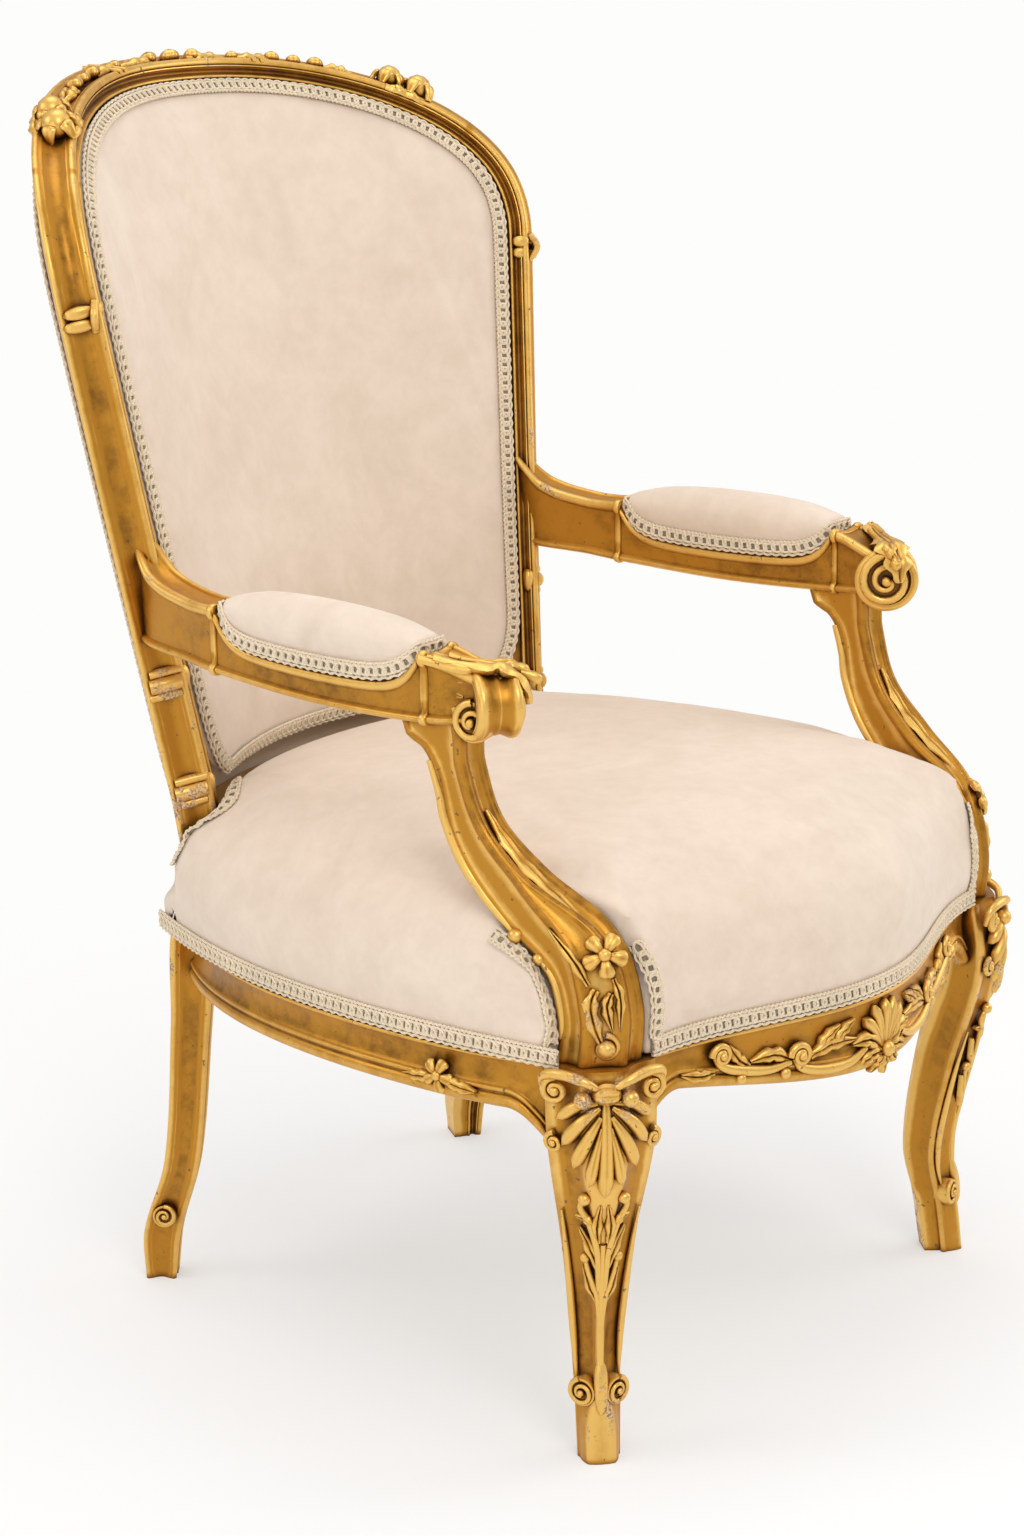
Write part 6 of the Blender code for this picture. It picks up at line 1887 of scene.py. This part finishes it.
def build_gimp():
    for side, word in SIDES:
        gimp_piece("gimp_posts_" + word, edge_runs(side), [])
    low = RAIL_TOP + FIT
    inner = FIT - RAIL_STEP + 0.0004
    for word, points in zip(("front", "right", "rear", "left"), seat_segments(8)):
        axes = plan_axes(points)
        line = [(Vector((x, y, low + GIMP_WIDTH / 2)) + axis * inner, axis)
                for (x, y), axis in zip(points, axes) if clear_of_posts(x, y)]
        run = ([p for p, axis in line], [UP] * len(line), [axis for p, axis in line], GIMP_WIDTH)
        gimp_piece("gimp_seat_" + word, [run], ["seat_gimp_" + word])
    behind = -FRAME_DEPTH - 2 * BACK_PLAY - COVER - BACK_PLAY
    for name, node, inset, raised, outer, inner, way in (
            ("gimp_back", "back_gimp", FRAME_LIP + 0.0008, BACK_FOOT_RISE, BACK_FACE + 0.0006,
             BACK_FACE + BACK_BAND_RISE + 0.0010, -1),
            ("gimp_outside_back", "outside_back_gimp", FRAME_WIDTH * 0.62, 0.0, behind, behind, 1)):
        outline = back_outline(inset, 6, raised)
        edge = [back_place(x, z, outer) for x, z in outline]
        inside = [back_place(x, z, inner) for x, z in drawn(outline, BACK_MIDDLE, BACK_BAND, 1.0)]
        across = [(b - a).normalized() for a, b in zip(edge, inside)]
        over = []
        for (x, z), side in zip(outline, across):
            away = back_normal(x) * way
            over.append((away - side * away.dot(side)).normalized())
        path = [a.lerp(b, 0.5) for a, b in zip(edge, inside)]
        gimp_piece(name, [(path, across, over, BACK_BAND, True)], [node])
    for side, word in SIDES:
        loops = [pad_outline(FIT + 0.0004), pad_outline(FIT + 0.004)]
        path, out = [], []
        for a, b in zip(*loops):
            lift = UP * (pad_floor(a[0]) + FIT + 0.0064)
            near, far = [pad_place(*at, 0.0) for at in (a, b)]
            path.append(Vector((near.x * side, near.y, 0.0)) + lift)
            out.append(Vector(((far.x - near.x) * side, far.y - near.y, 0.0)).normalized())
        across = []
        for i, away in enumerate(out):
            run = (path[(i + 1) % len(path)] - path[i - 1]).normalized()
            rise = UP - run * UP.dot(run)
            across.append((rise - away * rise.dot(away)).normalized())
        gimp_piece("gimp_arm_" + word, [(path, across, out, NARROW_GIMP, True)], ["arm_gimp_" + word])


def clear_of_posts(x, y):
    """True where the seat's edge isn't taken up by an arm support or an upright."""
    leg_x, leg_y = leg_centre(HEAD_SET)
    at_leg = abs(abs(x) - leg_x) < SUPPORT_FOOT_SIZE * 0.5 and y < leg_y + SUPPORT_FOOT_SIZE * 0.5
    at_post = math.hypot(abs(x) - POST[0], y - POST[1]) < 0.026
    return not at_leg and not at_post


# Under the seat

def weave(nodes, t):
    """Ease between heights given at points of the strap."""
    for (at, low), (to, high) in zip(nodes, nodes[1:]):
        if at <= t <= to:
            return low + (high - low) * (1 - math.cos(math.pi * (t - at) / (to - at))) / 2
    return nodes[-1][1]


def strap(name, node, edges, nodes):
    middle = RAIL_BOTTOM - FIT - STRAP_WAVE - STRAP_THICK / 2
    rings = []
    for t in span(0.0, 1.0, 80):
        lift = UP * (middle + STRAP_WAVE * weave(nodes, t))
        (a, b), (c, d) = [(Vector(start), Vector(end)) for start, end in edges]
        near, far = a.lerp(b, t) + lift, c.lerp(d, t) + lift
        top = [near.lerp(far, k / 10) + UP * STRAP_THICK * (0.5 if k % 10 else 0.2) for k in range(11)]
        under = [p - UP * (p - near.lerp(far, k / 10)).z * 2 for k, p in enumerate(top)]
        rings.append(top + under[::-1])
    piece = settle(name, skinned(rings), look_of("jute"), "jute_webbing", [node])


def build_underside():
    tack = RAIL_THICK * 0.68
    half = STRAP_WIDTH / 2
    rows_x = [STRAP_PITCH[0] * i for i in (-1, 0, 1)]
    rows_y = [WELL_MIDDLE_Y + STRAP_PITCH[1] * j for j in (-1, 0, 1)]
    for i, x in enumerate(rows_x):
        edges = [((e, front_line(e) + tack, 0), (e, rear_line(e) - tack, 0)) for e in (x - half, x + half)]
        start, end = front_line(x) + tack, rear_line(x) - tack
        nodes = [(0.0, 1.0)] + [((y - start) / (end - start), (-1) ** (i + j)) for j, y in enumerate(rows_y)]
        strap("web_long_%d" % (i + 1), "webbing_long_%d" % (i + 1), edges, nodes + [(1.0, 1.0)])
    for j, y in enumerate(rows_y):
        edges = [((-side_line(e) + tack, e, 0), (side_line(e) - tack, e, 0)) for e in (y - half, y + half)]
        reach = side_line(y) - tack
        nodes = [(0.0, 1.0)] + [((x + reach) / (2 * reach), -(-1) ** (i + j)) for i, x in enumerate(rows_x)]
        strap("web_cross_%d" % (j + 1), "webbing_cross_%d" % (j + 1), edges, nodes + [(1.0, 1.0)])
    low = RAIL_BOTTOM + SPRING_WIRE
    high = WELL_TOP_Z - COVER - 2 * FIT - SPRING_WIRE
    spots = [(0.0, WELL_MIDDLE_Y)]
    spots += [(STRAP_PITCH[0] * i, WELL_MIDDLE_Y + STRAP_PITCH[1] * j) for i in (-1, 1) for j in (-1, 1)]
    for n, (x, y) in enumerate(spots):
        path = []
        for t in span(0.0, 1.0, SPRING_TURNS * 24):
            radius = SPRING_WAIST + (SPRING_RADIUS - SPRING_WAIST) * (2 * t - 1) ** 2
            angle = math.tau * SPRING_TURNS * t
            path.append(Vector((x + radius * math.cos(angle), y + radius * math.sin(angle),
                                low + (high - low) * t * t * (3 - 2 * t))))
        bm = bmesh.new()
        tube(bm, path, SPRING_WIRE, 8)
        settle("coil_%d" % (n + 1), bm, look_of("wire"), "spring_steel", ["spring_%d" % (n + 1)])
    count = 48
    rim = []
    for i in range(count):
        c, s = math.cos(math.tau * i / count), math.sin(math.tau * i / count)
        rim.append(((WELL_SIZE - FIT) * math.copysign(abs(c) ** 0.5, c),
                    (WELL_SIZE - FIT) * math.copysign(abs(s) ** 0.5, s)))
    top = WELL_TOP_Z - FIT
    levels = [(0.01, top)] + [(k / 8, top) for k in range(1, 9)]
    levels += [(k / 8, top - COVER) for k in range(8, 0, -1)]
    rings = [[Vector((x * scale, WELL_MIDDLE_Y + y * scale, z)) for x, y in rim] for scale, z in levels]
    piece = settle("spring_cloth", skinned(rings), look_of("linen"), "linen_canvas", ["spring_canvas"])
    for label in ("front", "rear"):
        for _, word in SIDES:
            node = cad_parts["corner_block_%s_%s" % (label, word)]
            node.data.materials.clear()
            node.data.materials.append(look_of("beech"))


# Stage

CAMERA_SPOT = (-2.198, -1.754, 1.236)
CAMERA_YAW = math.radians(51.554)
CAMERA_PITCH = math.radians(15.49)
CAMERA_ROLL = math.radians(-0.508)
CAMERA_LENS = 79.12
BACKDROP = (0.985, 0.982, 0.975, 1.0)


def build_camera():
    lens = bpy.data.cameras.new("camera")
    lens.sensor_width = 36.0
    lens.lens = CAMERA_LENS
    lens.clip_end = 200.0
    made = bpy.data.objects.new("camera", lens)
    bpy.context.scene.collection.objects.link(made)
    level = math.cos(CAMERA_PITCH)
    ahead = Vector((math.sin(CAMERA_YAW) * level, math.cos(CAMERA_YAW) * level, -math.sin(CAMERA_PITCH)))
    right = Vector((math.cos(CAMERA_YAW), -math.sin(CAMERA_YAW), 0.0))
    above = right.cross(ahead)
    c, s = math.cos(CAMERA_ROLL), math.sin(CAMERA_ROLL)
    turned_right, turned_above = right * c + above * s, above * c - right * s
    axes = Matrix((turned_right, turned_above, -ahead)).transposed().to_4x4()
    made.matrix_world = Matrix.Translation(CAMERA_SPOT) @ axes
    bpy.context.scene.camera = made


def lamp(name, spot, aim, size, power, colour=(1.0, 1.0, 1.0)):
    light = bpy.data.lights.new(name, "AREA")
    light.shape = "DISK"
    light.size = size
    light.energy = power
    light.color = colour
    made = bpy.data.objects.new(name, light)
    bpy.context.scene.collection.objects.link(made)
    made.location = spot
    made.rotation_euler = (Vector(aim) - Vector(spot)).to_track_quat("-Z", "Y").to_euler()


def build_stage():
    scene = bpy.context.scene
    scene.view_settings.view_transform = "Standard"
    bm = bmesh.new()
    bmesh.ops.create_circle(bm, cap_ends=True, segments=96, radius=40.0)
    mesh = bpy.data.meshes.new("floor")
    bm.to_mesh(mesh)
    bm.free()
    floor = bpy.data.objects.new("floor", mesh)
    scene.collection.objects.link(floor)
    look, tree, shader = finish("studio_floor")
    shader.inputs["Base Color"].default_value = (*colours().floor, 1.0)
    shader.inputs["Roughness"].default_value = 0.9
    shader.inputs["Specular IOR Level"].default_value = 0.1
    far = add(tree, "ShaderNodeVectorMath", {0: add(tree, "ShaderNodeTexCoord").outputs["Object"]},
              operation="LENGTH").outputs["Value"]
    path = add(tree, "ShaderNodeLightPath").outputs
    seen = sums(tree, "MAXIMUM", path["Is Camera Ray"], sums(tree, "MAXIMUM", path["Is Glossy Ray"],
                                                              path["Is Transmission Ray"]))
    glow = add(tree, "ShaderNodeEmission", {"Color": BACKDROP, "Strength": 1.0})
    share = sums(tree, "MULTIPLY", ranged(tree, far, 0.35, 1.2, 0.46, 1.0), seen)
    mix = add(tree, "ShaderNodeMixShader", {0: share, 1: shader.outputs[0], 2: glow.outputs[0]})
    tree.links.new(mix.outputs[0], tree.nodes["Material Output"].inputs["Surface"])
    mesh.materials.append(look)
    world = bpy.data.worlds.new("studio")
    scene.world = world
    world.use_nodes = True
    tree = world.node_tree
    ground = tree.nodes["Background"]
    ground.inputs["Color"].default_value = (0.98, 0.985, 1.0, 1.0)
    sky = add(tree, "ShaderNodeTexCoord").outputs["Generated"]
    way = add(tree, "ShaderNodeSeparateXYZ", {0: sky}).outputs["Z"]
    tree.links.new(ranged(tree, way, -0.1, 0.9, 0.34, 0.80), ground.inputs["Strength"])
    backdrop = add(tree, "ShaderNodeBackground", {"Color": BACKDROP, "Strength": 1.0})
    seen = add(tree, "ShaderNodeLightPath").outputs["Is Camera Ray"]
    mix = add(tree, "ShaderNodeMixShader", {0: seen, 1: ground.outputs[0], 2: backdrop.outputs[0]})
    tree.links.new(mix.outputs[0], tree.nodes["World Output"].inputs["Surface"])
    lamp("key", (-1.6, -2.6, 2.9), (0.0, 0.0, 0.5), 1.8, 41.0, (1.0, 0.97, 0.93))
    lamp("fill", (2.6, -1.6, 1.7), (0.0, 0.0, 0.5), 2.2, 25.0)
    lamp("side", (-3.0, -0.5, 1.1), (0.0, 0.0, 0.5), 1.8, 10.0)
    lamp("rim", (-2.4, 1.8, 2.2), (0.0, 0.0, 0.6), 1.6, 18.0)
    lamp("above", (0.3, 0.4, 3.2), (0.0, 0.0, 0.5), 2.0, 17.0)


# Operators, panel and registration

def chair_operator(key, label, about, work):
    """Make an operator class for one group of pieces."""

    def execute(self, context):
        work()
        return {"FINISHED"}

    return type("CHAIR_OT_" + key, (bpy.types.Operator,),
                {"bl_idname": "chair." + key, "bl_label": label, "__doc__": about, "execute": execute})


OPERATORS = [
    chair_operator("camera", "Camera", "Set the camera at the picture's viewing angle", build_camera),
    chair_operator(
        "back_frame", "Back frame", "Stiles with rear legs, crest and lower rail", build_back_frame),
    chair_operator("front_legs", "Front legs", "Cabriole front legs", build_front_legs),
    chair_operator("seat_rails", "Seat rails", "Moulded rails of the seat", build_seat_rails),
    chair_operator("arms", "Arms", "Arms with their scrolls and supports", build_arms),
    chair_operator(
        "carving", "Carving", "Leaves, flowers, buds and scrolls carved on the frame", build_carving),
    chair_operator("underside", "Underside", "Webbing, springs and canvas under the seat", build_underside),
    chair_operator("seat_cushion", "Seat", "Domed velvet seat", build_seat_cushion),
    chair_operator("back_cushion", "Back", "Hollowed velvet back", build_back_cushion),
    chair_operator("outside_back", "Outside back", "Cloth across the rear of the back", build_outside_back),
    chair_operator("arm_pads", "Arm pads", "Velvet pads on the arms", build_arm_pads),
    chair_operator("gimp", "Gimp", "Looped braid along every edge of the covers", build_gimp),
    chair_operator("stage", "Stage", "Floor, backdrop and lamps", build_stage),
]


class CHAIR_PT_panel(bpy.types.Panel):
    """Steps and settings of the armchair."""

    bl_idname = "CHAIR_PT_panel"
    bl_label = "Armchair"
    bl_space_type = "VIEW_3D"
    bl_region_type = "UI"
    bl_category = "Armchair"

    def draw(self, context):
        for group in (context.scene.chair_sizes, context.scene.chair_colours):
            for field in group.__annotations__:
                self.layout.prop(group, field)
        for operator in OPERATORS:
            self.layout.operator(operator.bl_idname)


CLASSES = [ChairSizes, ChairColours, *OPERATORS, CHAIR_PT_panel]


def register():
    for kind in CLASSES:
        bpy.utils.register_class(kind)
    bpy.types.Scene.chair_sizes = bpy.props.PointerProperty(type=ChairSizes)
    bpy.types.Scene.chair_colours = bpy.props.PointerProperty(type=ChairColours)


def unregister():
    del bpy.types.Scene.chair_colours
    del bpy.types.Scene.chair_sizes
    for kind in reversed(CLASSES):
        bpy.utils.unregister_class(kind)


def main():
    register()
    for operator in OPERATORS:
        group, key = operator.bl_idname.split(".")
        getattr(getattr(bpy.ops, group), key)()
    bpy.context.view_layer.update()


if __name__ == "__main__":
    main()
